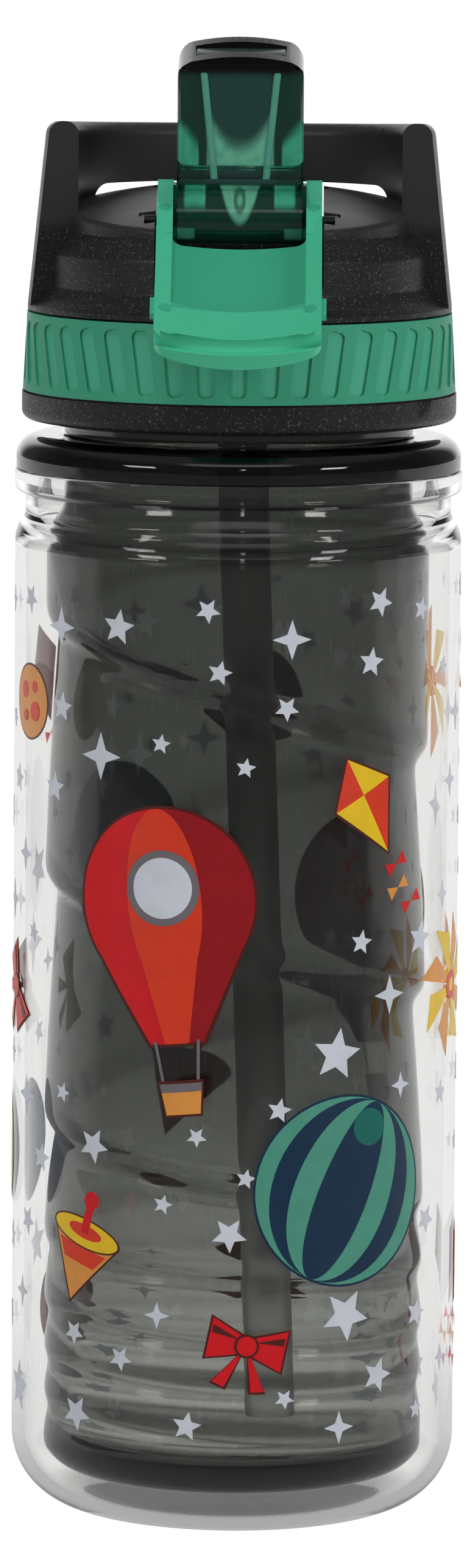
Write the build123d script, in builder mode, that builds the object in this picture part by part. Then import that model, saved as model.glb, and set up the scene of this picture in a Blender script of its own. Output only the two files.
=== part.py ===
from build123d import *
from math import cos, pi, radians, sin, tan
import os

# Kids' water bottle with a clear outer wall, a smoked inner bottle, a screw lid with a carry hoop,
# a drinking spout that folds down and a flip cover over it.
# Millimetres, +Z up, origin in the middle of the base, front of the bottle towards -Y.

# ---- driving dimensions ----------------------------------------------------------------------

# outer wall of the bottle
wall_r = 36.85                # outside radius of the clear wall
wall_t = 2.0
base_fillet_r = 12.3
shoulder_z = 165.7            # lower edge of the finger groove under the rim
shoulder_fillet_r = 2.6
groove_depth = 1.75
groove_h = 3.9
rim_h = 3.8                   # bead above the groove
bead_r = 1.0

# inner bottle
inner_gap = 5.25              # from the outside of the wall to that of the inner bottle
inner_t = 1.8
inner_floor_gap = 4.5         # air under the inner bottle, above the outer floor
inner_fillet_r = 5.0
flange_inset = 0.15           # flange inside the wall's outline
flange_h = 5.6
flange_round_r = 4.0
neck_inset = 2.85             # neck inside the inner bottle's side
neck_t = 2.0
neck_h = 17.0                 # neck above the flange
neck_shoulder_drop = 11.0     # height of the cone between body and flange

# screw thread
thread_lead = 4.5
thread_depth = 1.25
thread_base_w = 2.0
thread_crest_w = 1.2
thread_gap = 0.35             # radial play between crest and root
thread_start_h = 5.5          # first ridge above the flange
ridges_per_turn = 6
thread_steps = 8              # ridges in a row
thread_sector = 50.0          # degrees covered by one ridge
ridge_sink = 0.4              # how deep a ridge is rooted in its wall

# lid
lid_gap = 2.55                # open neck between flange and lid
skirt_inset = 1.05            # skirt inside the wall's outline
skirt_h = 4.55
skirt_edge_r = 1.5
cap_t = 1.65
cap_proud = 0.45              # lower edge of the cap below that of the skirt
cap_plate_t = 2.0
core_t = 1.2
band_gap = 0.35               # joint lines above and below the band
band_h = 12.8
band_inset = 0.15             # band inside the skirt
band_taper = 0.68
grip_count = 42
grip_w = 3.0
grip_len = 10.6
grip_end_r = 1.0
grip_depth = 0.5
grip_lean = 22.0              # largest lean of a grip slot, at the sides of the bottle
gasket_t = 1.8
gasket_w = 3.4
seat_gap = 0.1                # soft parts against hard ones across a joint
slip = 0.05                   # fitted pieces of one body

# lid shell
lip_h = 0.8
lip_inset = 0.07              # lip inside the band's upper edge
flare_w = 3.5
flare_h = 3.3
drum_h = 5.0
cove_h = 3.7
cove_w = 3.2
deck_crown_h = 20.5           # crown of the deck above the underside of the shell
deck_dome_r = 115.0
deck_crown_y = 10.0
deck_edge_r = 0.9
back_round_r = 17.0           # round fall of the deck behind its crown
back_ledge_h = 6.5
hoop_foot_inset = 0.9          # inside of the hoop inside the deck's edge
hoop_t = 4.5                  # hoop's thickness at its top
hoop_h = 31.0                 # top of the hoop over the shell's underside, at its front
hoop_slope = 2.8
hoop_edge_r = 2.1
post_front_y = -6.6
post_back_y = 12.0
bar_bottom_h = 19.7
finger_gap_r = 4.0
channel_half_w = 13.7
channel_front_inset = 1.8     # channel's front inside the deck's edge
channel_back_y = 22.0
channel_floor_h = 3.7
floor_t = 1.6
pocket_inset = 2.2
pocket_top_h = 8.0

# shared hinge of cover and spout
hinge_y = -16.0
hinge_z = 215.0
pin_r = 0.9
pin_play = 0.05
pin_inner_x = 8.9
pin_outer_x = 16.2
notch_end_play = 0.2

# cover, given along its length s from the hinge and across its thickness t (outside is +t)
cover_open_deg = 212.5        # direction of the open cover, from +Y towards +Z
cover_half_w = 13.4
rail_w = 2.6
cover_end_s = 38.4
cover_skin_t = 1.8
cover_top_t = 1.5
cover_rail_depth = 3.9
cover_arch_r = 60.0
cover_end_r = 40.0
cover_corner_r = 3.0
panel_start_s = 8.3
panel_corner_r = 1.8
panel_end_s = 28.2
tail_s = 9.3
tail_bend_s = 0.8
knuckle_t = 2.4               # arms at the hinge, outside
arm_round_r = 0.7
lip_groove_r = 1.25
lip_groove_back = 1.5
lip_rise = 1.1
nub_s = 25.4
nub_len = 4.5
nub_w = 1.6
nub_t = -1.0
nub_proud = 0.75
mark_r = 1.0
mark_s = 1.2
mark_depth = 0.2
clear = 0.3                   # play of moving parts

# spout, given from the hinge: u towards the back, v upwards, with the spout standing
spout_half_w = 10.3
barrel_r = 5.2
spout_top_v = 29.5
spout_front_u = 1.8
spout_depth = 9.6
spout_base_v = 5.5
ledge_v = 7.9
ledge_h = 2.0
ledge_u = 0.9
block_u = 1.2                 # front of the block below the ledge
tab_x = 8.5                   # stop tabs on the barrel
tab_w = 2.4
tab_h = 1.7
tab_u = 5.6
tab_v = 2.6
tip_v = 24.4
spout_corner_r = 2.0
tip_slope_deg = 17.0
tip_arch_drop = 1.4
tip_corner_r = 3.2
bore_top_w = 15.2
bore_base_w = 10.6
bore_d = 4.8
passage_r = 1.5
port_r = 2.2
seal_r = 4.0
seal_flange_r = 6.4
cradle_wall = 2.2
cradle_back_wall = 1.0
cradle_r = 7.0                # outer round of the cradle about the hinge
cradle_half_w = 8.6
cradle_top_v = 3.4            # top of the cradle's front below the hinge

# straw
straw_r = 4.0
straw_t = 0.7
straw_lean_deg = 2.0
straw_bottom_z = 17.6
straw_socket_len = 9.0
socket_t = 1.3

# air valve
valve_y = 13.0
valve_r = 3.2
valve_stem_r = 1.6
valve_head_t = 1.1
valve_bill_h = 5.0
valve_bill_t = 0.8
valve_bill_w = 5.2

# ---- heights and radii that follow -----------------------------------------------------------

inner_r = wall_r - inner_gap
flange_r = wall_r - flange_inset
neck_r = inner_r - neck_inset
skirt_r = wall_r - skirt_inset
band_bottom_r = skirt_r - band_inset
band_top_r = band_bottom_r - band_taper
lip_r = band_top_r - lip_inset
drum_r = lip_r - flare_w
deck_r = drum_r - cove_w
hoop_inner_r = deck_r - hoop_foot_inset
hoop_top_r = hoop_inner_r + hoop_t
channel_front_y = -(deck_r - channel_front_inset)
groove_r = wall_r - groove_depth
groove_top_z = shoulder_z + groove_h
flange_z = groove_top_z + rim_h
flange_top_z = flange_z + flange_h
neck_top_z = flange_top_z + neck_h
inner_bottom_z = wall_t + inner_floor_gap
neck_in_r = neck_r - neck_t
skirt_z = flange_top_z + lid_gap
skirt_top_z = skirt_z + skirt_h
cap_z = skirt_z - cap_proud
band_z = skirt_top_z + band_gap
band_top_z = band_z + band_h
shell_z = band_top_z + band_gap
cap_in_r = neck_r + thread_depth + thread_gap
cap_out_r = cap_in_r + cap_t
core_in_r = cap_out_r + slip
core_out_r = core_in_r + core_t
band_in_r = core_out_r + slip
gasket_z = neck_top_z + seat_gap
plate_z = gasket_z + gasket_t + seat_gap
plate_top_z = plate_z + cap_plate_t
channel_z = shell_z + channel_floor_h
floor_z = channel_z - floor_t
crown_z = shell_z + deck_crown_h
ledge_z = shell_z + back_ledge_h
bar_bottom_z = shell_z + bar_bottom_h
hoop_top_z = shell_z + hoop_h
far = 3 * wall_r              # reach of cutting tools past the part


def thread_ridges(root_r, crest_r, start_z):
    """A row of ridges on a right-hand helix, each a flat ring sector turned to the thread's slope."""
    slope = thread_lead / (2 * pi * root_r)
    sink = ridge_sink if crest_r > root_r else -ridge_sink
    crest = thread_crest_w / 2
    flank = (thread_base_w - thread_crest_w) / 2 * ridge_sink / thread_depth
    foot = thread_base_w / 2 + flank
    for step in range(thread_steps):
        turn = radians(360.0 * step / ridges_per_turn)
        outward = Vector(cos(turn), sin(turn), 0)
        along = Vector(-sin(turn), cos(turn), slope).normalized()
        centre = (0, 0, start_z + thread_lead * step / ridges_per_turn)
        with BuildSketch(Plane(centre, x_dir=outward, z_dir=-along)) as ridge:
            Polygon(
                (root_r - sink, -foot),
                (crest_r, -crest),
                (crest_r, crest),
                (root_r - sink, foot),
                align=None,
            )
        revolve(ridge.sketch, axis=Axis(centre, outward.cross(along)), revolution_arc=thread_sector)


os.makedirs("parts", exist_ok=True)

# ---- bottle ----------------------------------------------------------------------------------

with BuildPart() as outer_wall:
    with BuildSketch(Plane.XZ):
        with BuildLine():
            outside = FilletPolyline(
                (0, 0),
                (wall_r, 0),
                (wall_r, shoulder_z - groove_depth),
                radius=base_fillet_r,
            )
            shoulder = RadiusArc(
                outside @ 1, (groove_r, shoulder_z), -shoulder_fillet_r
            )
            groove = Polyline(
                shoulder @ 1,
                (groove_r, groove_top_z),
                (wall_r, groove_top_z),
                (wall_r, flange_z),
                (groove_r - wall_t, flange_z),
                (groove_r - wall_t, shoulder_z - wall_t),
                (wall_r - wall_t, shoulder_z - 2 * wall_t),
            )
            inside = FilletPolyline(
                groove @ 1,
                (wall_r - wall_t, wall_t),
                (0, wall_t),
                radius=base_fillet_r - wall_t,
            )
            Line(inside @ 1, (0, 0))
        make_face()
    revolve(axis=Axis.Z)
    bead = outer_wall.edges().filter_by(GeomType.CIRCLE).filter_by(lambda e: abs(e.radius - wall_r) < 0.01)
    fillet(bead.filter_by(lambda e: abs(e.center().Z - groove_top_z) < 0.01), radius=bead_r)
outer_wall.part.label = "outer_wall"
export_step(outer_wall.part, "parts/outer_wall.step")

with BuildPart() as inner_bottle:
    with BuildSketch(Plane.XZ):
        with BuildLine():
            belly = FilletPolyline(
                (0, inner_bottom_z),
                (inner_r, inner_bottom_z),
                (inner_r, flange_z - neck_shoulder_drop),
                radius=inner_fillet_r,
            )
            flange = FilletPolyline(
                belly @ 1,
                (neck_r, flange_z - neck_shoulder_drop / 2),
                (neck_r, flange_z),
                radius=1.0,
            )
            Line(flange @ 1, (flange_r, flange_z))
            Line((flange_r, flange_z), (flange_r, flange_top_z - flange_round_r))
            RadiusArc(
                (flange_r, flange_top_z - flange_round_r),
                (flange_r - flange_round_r, flange_top_z),
                -flange_round_r,
            )
            Polyline(
                (flange_r - flange_round_r, flange_top_z),
                (neck_r, flange_top_z),
                (neck_r, neck_top_z),
                (neck_in_r, neck_top_z),
                (neck_in_r, flange_z - neck_shoulder_drop / 2),
                (inner_r - inner_t, flange_z - neck_shoulder_drop - inner_t),
            )
            hollow = FilletPolyline(
                (inner_r - inner_t, flange_z - neck_shoulder_drop - inner_t),
                (inner_r - inner_t, inner_bottom_z + inner_t),
                (0, inner_bottom_z + inner_t),
                radius=inner_fillet_r - inner_t,
            )
            Line(hollow @ 1, (0, inner_bottom_z))
        make_face()
    revolve(axis=Axis.Z)
    thread_ridges(neck_r, neck_r + thread_depth, flange_top_z + thread_start_h)
inner_bottle.part.label = "inner_bottle"
export_step(inner_bottle.part, "parts/inner_bottle.step")

# ---- lid: cap, skirt and grip band -----------------------------------------------------------

with BuildPart() as lid_gasket:
    with BuildSketch(Plane.XY.offset(gasket_z)):
        Circle(cap_in_r - slip)
        Circle(cap_in_r - slip - gasket_w, mode=Mode.SUBTRACT)
    extrude(amount=gasket_t)
lid_gasket.part.label = "lid_gasket"
export_step(lid_gasket.part, "parts/lid_gasket.step")

with BuildPart() as inner_cap:
    with BuildSketch(Plane.XY.offset(cap_z)):
        Circle(cap_out_r)
    extrude(amount=plate_top_z - cap_z)
    with BuildSketch(Plane.XY.offset(cap_z)):
        Circle(cap_in_r)
    extrude(amount=plate_z - cap_z, mode=Mode.SUBTRACT)
    thread_ridges(cap_in_r, neck_r + thread_gap, flange_top_z + thread_start_h - thread_lead / 2)
    with BuildSketch(Plane.XY.offset(plate_z)):
        with Locations((0, hinge_y)):
            Circle(straw_r + socket_t + slip)
        with Locations((0, valve_y)):
            Circle(valve_stem_r + slip)
    extrude(amount=cap_plate_t, mode=Mode.SUBTRACT)
inner_cap.part.label = "inner_cap"
export_step(inner_cap.part, "parts/inner_cap.step")

with BuildPart() as lid_skirt:
    with BuildSketch(Plane.XY.offset(skirt_z)):
        Circle(skirt_r)
    extrude(amount=skirt_h)
    fillet(lid_skirt.edges().group_by(Axis.Z)[0], radius=skirt_edge_r)
    with BuildSketch(Plane.XY.offset(skirt_top_z)):
        Circle(core_out_r)
    extrude(amount=shell_z - skirt_top_z)
    with BuildSketch(Plane.XY.offset(skirt_z)):
        Circle(core_in_r)
    extrude(amount=shell_z - skirt_z, mode=Mode.SUBTRACT)
    with BuildSketch(Plane.XY.offset(skirt_top_z)):
        Circle(band_bottom_r - grip_depth)
        Circle(core_in_r, mode=Mode.SUBTRACT)
    extrude(amount=band_gap)
lid_skirt.part.label = "lid_skirt"
export_step(lid_skirt.part, "parts/lid_skirt.step")

band_slope = (band_bottom_r - band_top_r) / band_h
grip_mid_r = (band_top_r + band_bottom_r) / 2

with BuildPart() as grip_band:
    with BuildSketch(Plane.XZ):
        Polygon(
            (band_in_r, band_z),
            (band_bottom_r, band_z),
            (band_top_r, band_top_z),
            (band_in_r, band_top_z),
            align=None,
        )
    revolve(axis=Axis.Z)
    for grip in range(grip_count):
        azimuth = 360.0 * grip / grip_count
        outward = Vector(sin(radians(azimuth)), -cos(radians(azimuth)), band_slope).normalized()
        middle = Vector(outward.X, outward.Y, 0).normalized() * grip_mid_r
        centre = middle + Vector(0, 0, band_z + band_h / 2) - outward * grip_depth
        across = Vector(cos(radians(azimuth)), sin(radians(azimuth)), 0)
        with BuildSketch(Plane(centre, x_dir=across, z_dir=outward)):
            RectangleRounded(grip_w, grip_len, grip_end_r, rotation=-grip_lean * sin(radians(azimuth)))
        extrude(amount=2 * grip_depth, mode=Mode.SUBTRACT)
grip_band.part.label = "grip_band"
export_step(grip_band.part, "parts/grip_band.step")

# ---- lid: shell with drum, deck, channel and carry hoop --------------------------------------

# air over the domed deck, with its round fall at the back down to a ledge
with BuildPart() as deck_air:
    with BuildSketch(Plane.XY.offset(shell_z + flare_h)):
        Circle(far)
    extrude(amount=far)
    with BuildSketch(Plane.YZ):
        with Locations((deck_crown_y, crown_z - deck_dome_r)):
            Circle(deck_dome_r)
        with Locations((deck_crown_y, crown_z - deck_dome_r)):
            Rectangle(deck_dome_r, 2 * deck_dome_r, align=(Align.MAX, Align.CENTER), mode=Mode.SUBTRACT)
    dome_axis = Axis((0, deck_crown_y, 0), (0, 0, 1))
    revolve(axis=dome_axis, mode=Mode.SUBTRACT)
    back_round_y = deck_crown_y - 2
    with BuildSketch(Plane.YZ):
        with Locations((back_round_y, ledge_z)):
            Rectangle(far, far, align=(Align.MIN, Align.MIN))
        with Locations((back_round_y, crown_z - back_round_r)):
            Circle(back_round_r, mode=Mode.SUBTRACT)
    extrude(amount=far, both=True)

with BuildPart() as drum:
    with BuildSketch(Plane.XZ):
        with BuildLine():
            Polyline((0, shell_z), (lip_r, shell_z), (lip_r, shell_z + lip_h))
            RadiusArc(
                (lip_r, shell_z + lip_h),
                (drum_r, shell_z + lip_h + flare_h),
                2 * flare_h,
            )
            cove_z = shell_z + lip_h + flare_h + drum_h
            Line((drum_r, shell_z + lip_h + flare_h), (drum_r, cove_z))
            RadiusArc((drum_r, cove_z), (deck_r, cove_z + cove_h), -3 * cove_h)
            Polyline(
                (deck_r, cove_z + cove_h),
                (deck_r, crown_z),
                (0, crown_z),
                (0, shell_z),
            )
        make_face()
    revolve(axis=Axis.Z)
    add(deck_air.part, mode=Mode.SUBTRACT)
    rim = drum.edges().filter_by(lambda e: abs((e @ 0.5).Z - (cove_z + cove_h)) > 0.5)
    rim = rim.filter_by(lambda e: abs(Vector((e @ 0.5).X, (e @ 0.5).Y).length - deck_r) < 0.05)
    rim = rim.filter_by(lambda e: (e @ 0.5).Y < deck_crown_y)
    fillet(rim, radius=deck_edge_r)

with BuildPart() as hoop:
    with BuildSketch(Plane.XZ):
        with BuildLine():
            Polyline((hoop_inner_r, shell_z), (lip_r, shell_z), (lip_r, shell_z + lip_h))
            Line((lip_r, shell_z + lip_h), (hoop_top_r, hoop_top_z))
            Polyline((hoop_top_r, hoop_top_z), (hoop_inner_r, hoop_top_z), (hoop_inner_r, shell_z))
        make_face()
    revolve(axis=Axis.Z)
    slope_plane = Plane(
        origin=(0, post_front_y, hoop_top_z),
        x_dir=(1, 0, 0),
        z_dir=(0, sin(radians(hoop_slope)), cos(radians(hoop_slope))),
    )
    split(bisect_by=slope_plane, keep=Keep.BOTTOM)
    fillet(hoop.edges().group_by(Axis.Z)[-2:], radius=hoop_edge_r)

# gap under the hoop's back bar, with rounded corners where the posts meet it
with BuildPart() as finger_gap:
    with BuildSketch(Plane.YZ):
        with Locations((post_back_y, ledge_z)):
            Rectangle(far, bar_bottom_z - ledge_z, align=(Align.MIN, Align.MIN))
    extrude(amount=far, both=True)
    fillet(finger_gap.edges().filter_by(Axis.X).group_by(Axis.Y)[0], radius=finger_gap_r)

with BuildPart() as hoop_cut:
    add(hoop.part)
    add(finger_gap.part, mode=Mode.SUBTRACT)
    with BuildSketch(Plane.XZ.offset(-post_front_y)):
        with Locations((0, shell_z)):
            Rectangle(2 * far, 2 * far, align=(Align.CENTER, Align.CENTER))
    extrude(amount=far, mode=Mode.SUBTRACT)

# underside of the open cover: what the front notch has to stay below
cover_dir = Vector(0, cos(radians(cover_open_deg)), sin(radians(cover_open_deg)))
cover_out = Vector(0, -sin(radians(cover_open_deg)), cos(radians(cover_open_deg)))
hinge_point = Vector(0, hinge_y, hinge_z)
cover_side = Plane(hinge_point, x_dir=cover_dir, z_dir=(1, 0, 0))
hinge_side = Plane(hinge_point, x_dir=(0, 1, 0), z_dir=(1, 0, 0))

with BuildPart() as notch:
    with BuildSketch(cover_side):
        with Locations((0, cover_top_t + clear)):
            Rectangle(far, far, align=(Align.MIN, Align.MAX))
    extrude(amount=channel_half_w, both=True)
    with BuildSketch(Plane.XZ.offset(-channel_front_y)):
        with Locations((0, hinge_z)):
            Rectangle(2 * far, 2 * far)
    extrude(amount=-2 * far, mode=Mode.SUBTRACT)

with BuildPart() as lid_shell:
    add(drum.part)
    add(hoop_cut.part)
    # channel for the folded spout and the cover
    with BuildSketch(Plane.XY.offset(channel_z)):
        with Locations((0, channel_front_y)):
            Rectangle(
                2 * channel_half_w,
                channel_back_y - channel_front_y,
                align=(Align.CENTER, Align.MIN),
            )
    extrude(amount=crown_z - channel_z, mode=Mode.SUBTRACT)
    add(notch.part, mode=Mode.SUBTRACT)
    # hollow underside beside the channel
    pocket_r = drum_r - pocket_inset
    for side in (-1, 1):
        with BuildSketch(Plane.XY.offset(shell_z)):
            Circle(pocket_r)
            with Locations((-side * (pocket_r - channel_half_w - floor_t), 0)):
                Rectangle(2 * pocket_r, 2 * pocket_r, mode=Mode.SUBTRACT)
        extrude(amount=pocket_top_h, mode=Mode.SUBTRACT)
    with BuildSketch(Plane.XY.offset(shell_z)):
        Circle(cap_out_r + slip)
    extrude(amount=floor_z - shell_z, mode=Mode.SUBTRACT)
    # cradle round the seal, under the spout's barrel, with a curved front wall
    with BuildSketch(hinge_side):
        with Locations((0, channel_z - hinge_z)):
            Rectangle(
                seal_r + cradle_wall,
                hinge_z - channel_z - cradle_top_v,
                align=(Align.MAX, Align.MIN),
            )
        Circle(cradle_r, mode=Mode.INTERSECT)
        with Locations((-seal_r - cradle_wall, channel_z - hinge_z)):
            Rectangle(
                2 * seal_r + cradle_wall + cradle_back_wall,
                hinge_z - channel_z - barrel_r - clear,
                align=(Align.MIN, Align.MIN),
            )
        Circle(barrel_r + clear, mode=Mode.SUBTRACT)
    extrude(amount=cradle_half_w, both=True)
    with BuildSketch(Plane.XY.offset(floor_z)):
        with Locations((0, hinge_y)):
            Circle(seal_r + slip)
    extrude(amount=hinge_z - floor_z, mode=Mode.SUBTRACT)
    # open seats for the hinge pins
    with BuildSketch(hinge_side):
        Circle(pin_r + slip)
        Rectangle(2 * (pin_r + slip), crown_z - hinge_z, align=(Align.CENTER, Align.MIN))
    extrude(amount=pin_outer_x + notch_end_play, both=True, mode=Mode.SUBTRACT)
    # grooves in the channel's walls for the cover's side nubs
    with BuildSketch(hinge_side):
        Circle(nub_s + nub_len / 2 + 2 * clear)
        Circle(nub_s - nub_len / 2 - 2 * clear, mode=Mode.SUBTRACT)
        Rectangle(far, far, align=(Align.MIN, Align.MIN), mode=Mode.INTERSECT)
    groove_half_w = cover_half_w + nub_proud + clear
    extrude(amount=groove_half_w, both=True, mode=Mode.SUBTRACT)
lid_shell.part.label = "lid_shell"
export_step(lid_shell.part, "parts/lid_shell.step")

# ---- straw, its socket, the seal and the air valve -------------------------------------------

straw_dir = Vector(sin(radians(straw_lean_deg)), 0, -cos(radians(straw_lean_deg)))
straw_top = Vector(0, hinge_y, plate_z)
straw_plane = Plane(straw_top, x_dir=(0, 1, 0), z_dir=straw_dir)
straw_len = (plate_z - straw_bottom_z) / cos(radians(straw_lean_deg))

with BuildPart() as straw:
    with BuildSketch(straw_plane.offset(slip)):
        Circle(straw_r)
        Circle(straw_r - straw_t, mode=Mode.SUBTRACT)
    extrude(amount=straw_len)
straw.part.label = "straw"
export_step(straw.part, "parts/straw.step")

with BuildPart() as straw_socket:
    with BuildSketch(straw_plane):
        Circle(straw_r + socket_t)
    extrude(amount=straw_socket_len)
    with BuildSketch(Plane.XY.offset(plate_top_z - cap_plate_t)):
        with Locations((0, hinge_y)):
            Circle(straw_r + socket_t)
    extrude(amount=cap_plate_t)
    with BuildSketch(straw_plane):
        Circle(straw_r + slip)
    extrude(amount=straw_socket_len, mode=Mode.SUBTRACT)
    with BuildSketch(Plane.XY.offset(plate_z - straw_t)):
        with Locations((0, hinge_y)):
            Circle(port_r)
    extrude(amount=cap_plate_t + straw_t, mode=Mode.SUBTRACT)
    with BuildSketch(Plane.XY.offset(plate_z - socket_t)):
        with Locations((0, hinge_y)):
            Circle(seal_flange_r)
            Circle(straw_r + socket_t - slip, mode=Mode.SUBTRACT)
    extrude(amount=socket_t - slip)
straw_socket.part.label = "straw_socket"
export_step(straw_socket.part, "parts/straw_socket.step")

with BuildPart() as spout_seal:
    with BuildSketch(Plane.XY.offset(plate_top_z + slip)):
        with Locations((0, hinge_y)):
            Circle(seal_flange_r)
    extrude(amount=floor_z - plate_top_z - 2 * slip)
    with BuildSketch(Plane.XY.offset(plate_top_z + slip)):
        with Locations((0, hinge_y)):
            Circle(seal_r)
    extrude(amount=hinge_z - barrel_r - seat_gap - plate_top_z - slip)
    with BuildSketch(Plane.XY.offset(plate_top_z)):
        with Locations((0, hinge_y)):
            Circle(port_r)
    extrude(amount=hinge_z - plate_top_z, mode=Mode.SUBTRACT)
spout_seal.part.label = "spout_seal"
export_step(spout_seal.part, "parts/spout_seal.step")

with BuildPart() as air_valve:
    with BuildSketch(Plane.XY.offset(plate_top_z + slip)):
        with Locations((0, valve_y)):
            Circle(valve_r)
    extrude(amount=valve_head_t)
    with BuildSketch(Plane.XY.offset(plate_top_z + slip)):
        with Locations((0, valve_y)):
            Circle(valve_stem_r)
    extrude(amount=-(cap_plate_t + 2 * slip))
    with BuildSketch(Plane.XY.offset(plate_z - slip)):
        with Locations((0, valve_y)):
            Circle(valve_r)
    with BuildSketch(Plane.XY.offset(plate_z - valve_bill_h)):
        with Locations((0, valve_y)):
            Rectangle(valve_bill_w, valve_bill_t)
    loft()
air_valve.part.label = "air_valve"
export_step(air_valve.part, "parts/air_valve.step")

# ---- hinge pins ------------------------------------------------------------------------------

for side, name in ((-1, "hinge_pin_left"), (1, "hinge_pin_right")):
    with BuildPart() as hinge_pin:
        with BuildSketch(hinge_side.offset(side * pin_inner_x)):
            Circle(pin_r)
        extrude(amount=side * (pin_outer_x - pin_inner_x))
        fillet(hinge_pin.edges().filter_by(GeomType.CIRCLE), radius=pin_r / 3)
    hinge_pin.part.label = name
    export_step(hinge_pin.part, f"parts/{name}.step")

# ---- spout -----------------------------------------------------------------------------------

front_slope = tan(radians(tip_slope_deg))
spout_mid_u = spout_front_u + spout_depth / 2

# air over the arched top, which rises towards the back of the spout
with BuildPart() as top_air:
    crest_v = spout_top_v - 2 * spout_depth * front_slope
    corner_v = crest_v - tip_arch_drop
    front_point = hinge_point + Vector(0, spout_front_u - spout_depth, 0)
    with BuildSketch(Plane(front_point, x_dir=(-1, 0, 0), z_dir=(0, 1, 0))) as outline:
        Rectangle(4 * spout_half_w, 2 * spout_top_v, align=(Align.CENTER, Align.MIN))
        with BuildSketch(mode=Mode.PRIVATE) as top_shape:
            with BuildLine():
                ThreePointArc((-spout_half_w, corner_v), (0, crest_v), (spout_half_w, corner_v))
                Polyline(
                    (spout_half_w, corner_v),
                    (spout_half_w, -spout_half_w),
                    (-spout_half_w, -spout_half_w),
                    (-spout_half_w, corner_v),
                )
            make_face()
            fillet(top_shape.vertices().group_by(Axis.Y)[-1], radius=tip_corner_r)
        add(top_shape.sketch, mode=Mode.SUBTRACT)
    rise = Vector(0, cos(radians(tip_slope_deg)), sin(radians(tip_slope_deg)))
    extrude(amount=4 * spout_depth, dir=rise)

with BuildPart() as spout_blank:
    with BuildSketch(hinge_side):
        with BuildLine():
            Polyline(
                (spout_mid_u, spout_base_v),
                (spout_front_u + spout_depth, spout_base_v),
                (spout_front_u + spout_depth, spout_top_v + spout_depth),
                (spout_front_u, spout_top_v + spout_depth),
                (spout_front_u, ledge_v + ledge_h / 2),
                (ledge_u, ledge_v + ledge_h / 4),
                (ledge_u, ledge_v - ledge_h / 2),
                (block_u, ledge_v - ledge_h),
                (block_u, 0),
                (barrel_r, 0),
                (barrel_r, spout_base_v),
                (spout_mid_u, spout_base_v),
            )
        make_face()
    extrude(amount=spout_half_w, both=True)
    upright = spout_blank.edges().filter_by(Axis.Z).filter_by(lambda e: e.length > spout_top_v / 2)
    fillet(upright, radius=spout_corner_r)
    add(top_air.part, mode=Mode.SUBTRACT)
    with BuildSketch(hinge_side):
        Circle(barrel_r)
    extrude(amount=spout_half_w, both=True)
    # stop tabs at the lower corners of the barrel
    for side in (-1, 1):
        with BuildSketch(hinge_side.offset(side * tab_x)):
            with Locations((-tab_u, -tab_v)):
                Rectangle(tab_u, tab_h, align=(Align.MIN, Align.MIN))
        extrude(amount=tab_w / 2, both=True)
    # bore, from the mouth down to the port in the barrel
    with BuildSketch(Plane.XY.offset(hinge_z + ledge_v - ledge_h / 2)):
        with Locations((0, hinge_y + spout_mid_u)):
            Rectangle(bore_base_w, bore_d)
    with BuildSketch(Plane.XY.offset(hinge_z + spout_top_v + slip)):
        with Locations((0, hinge_y + spout_mid_u)):
            Rectangle(bore_top_w, bore_d)
    loft(mode=Mode.SUBTRACT)
    passage_end = Vector(0, spout_mid_u - bore_d / 4, ledge_v)
    with BuildSketch(Plane(hinge_point, z_dir=passage_end)):
        Circle(passage_r)
    extrude(amount=passage_end.length, mode=Mode.SUBTRACT)
    with BuildSketch(Plane.XY.offset(hinge_z - 2 * barrel_r)):
        with Locations((0, hinge_y)):
            Circle(port_r)
    extrude(amount=2 * barrel_r + passage_r / 2, mode=Mode.SUBTRACT)
    with BuildSketch(hinge_side.offset(-spout_half_w), hinge_side.offset(spout_half_w)):
        Circle(pin_r + pin_play)
    extrude(
        amount=spout_half_w - pin_inner_x + notch_end_play,
        both=True,
        mode=Mode.SUBTRACT,
    )

tip_plane = Plane.XY.offset(hinge_z + tip_v)

with BuildPart() as spout:
    add(spout_blank.part)
    split(bisect_by=tip_plane, keep=Keep.BOTTOM)
spout.part.label = "spout"
export_step(spout.part, "parts/spout.step")

with BuildPart() as bite_tip:
    add(spout_blank.part)
    split(bisect_by=tip_plane, keep=Keep.TOP)
bite_tip.part.label = "bite_tip"
export_step(bite_tip.part, "parts/bite_tip.step")

# ---- cover, drawn from the hinge: s along its length, t through its thickness ----------------

cover_plan = Plane(hinge_point, x_dir=(1, 0, 0), z_dir=cover_out)
cover_cross = Plane(hinge_point, x_dir=(1, 0, 0), z_dir=-cover_dir)
panel_half_w = cover_half_w - rail_w
panel_t = cover_top_t - cover_skin_t
rail_t = cover_top_t - cover_rail_depth
side_drop = cover_half_w**2 / (2 * cover_arch_r)
panel_drop = panel_half_w**2 / (2 * cover_arch_r)
end_drop = cover_half_w**2 / (2 * cover_end_r)
cross_half_w = cover_half_w + rail_w
cross_drop = cross_half_w**2 / (2 * cover_arch_r)
panel_end_drop = panel_half_w**2 / (2 * cover_end_r)

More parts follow.
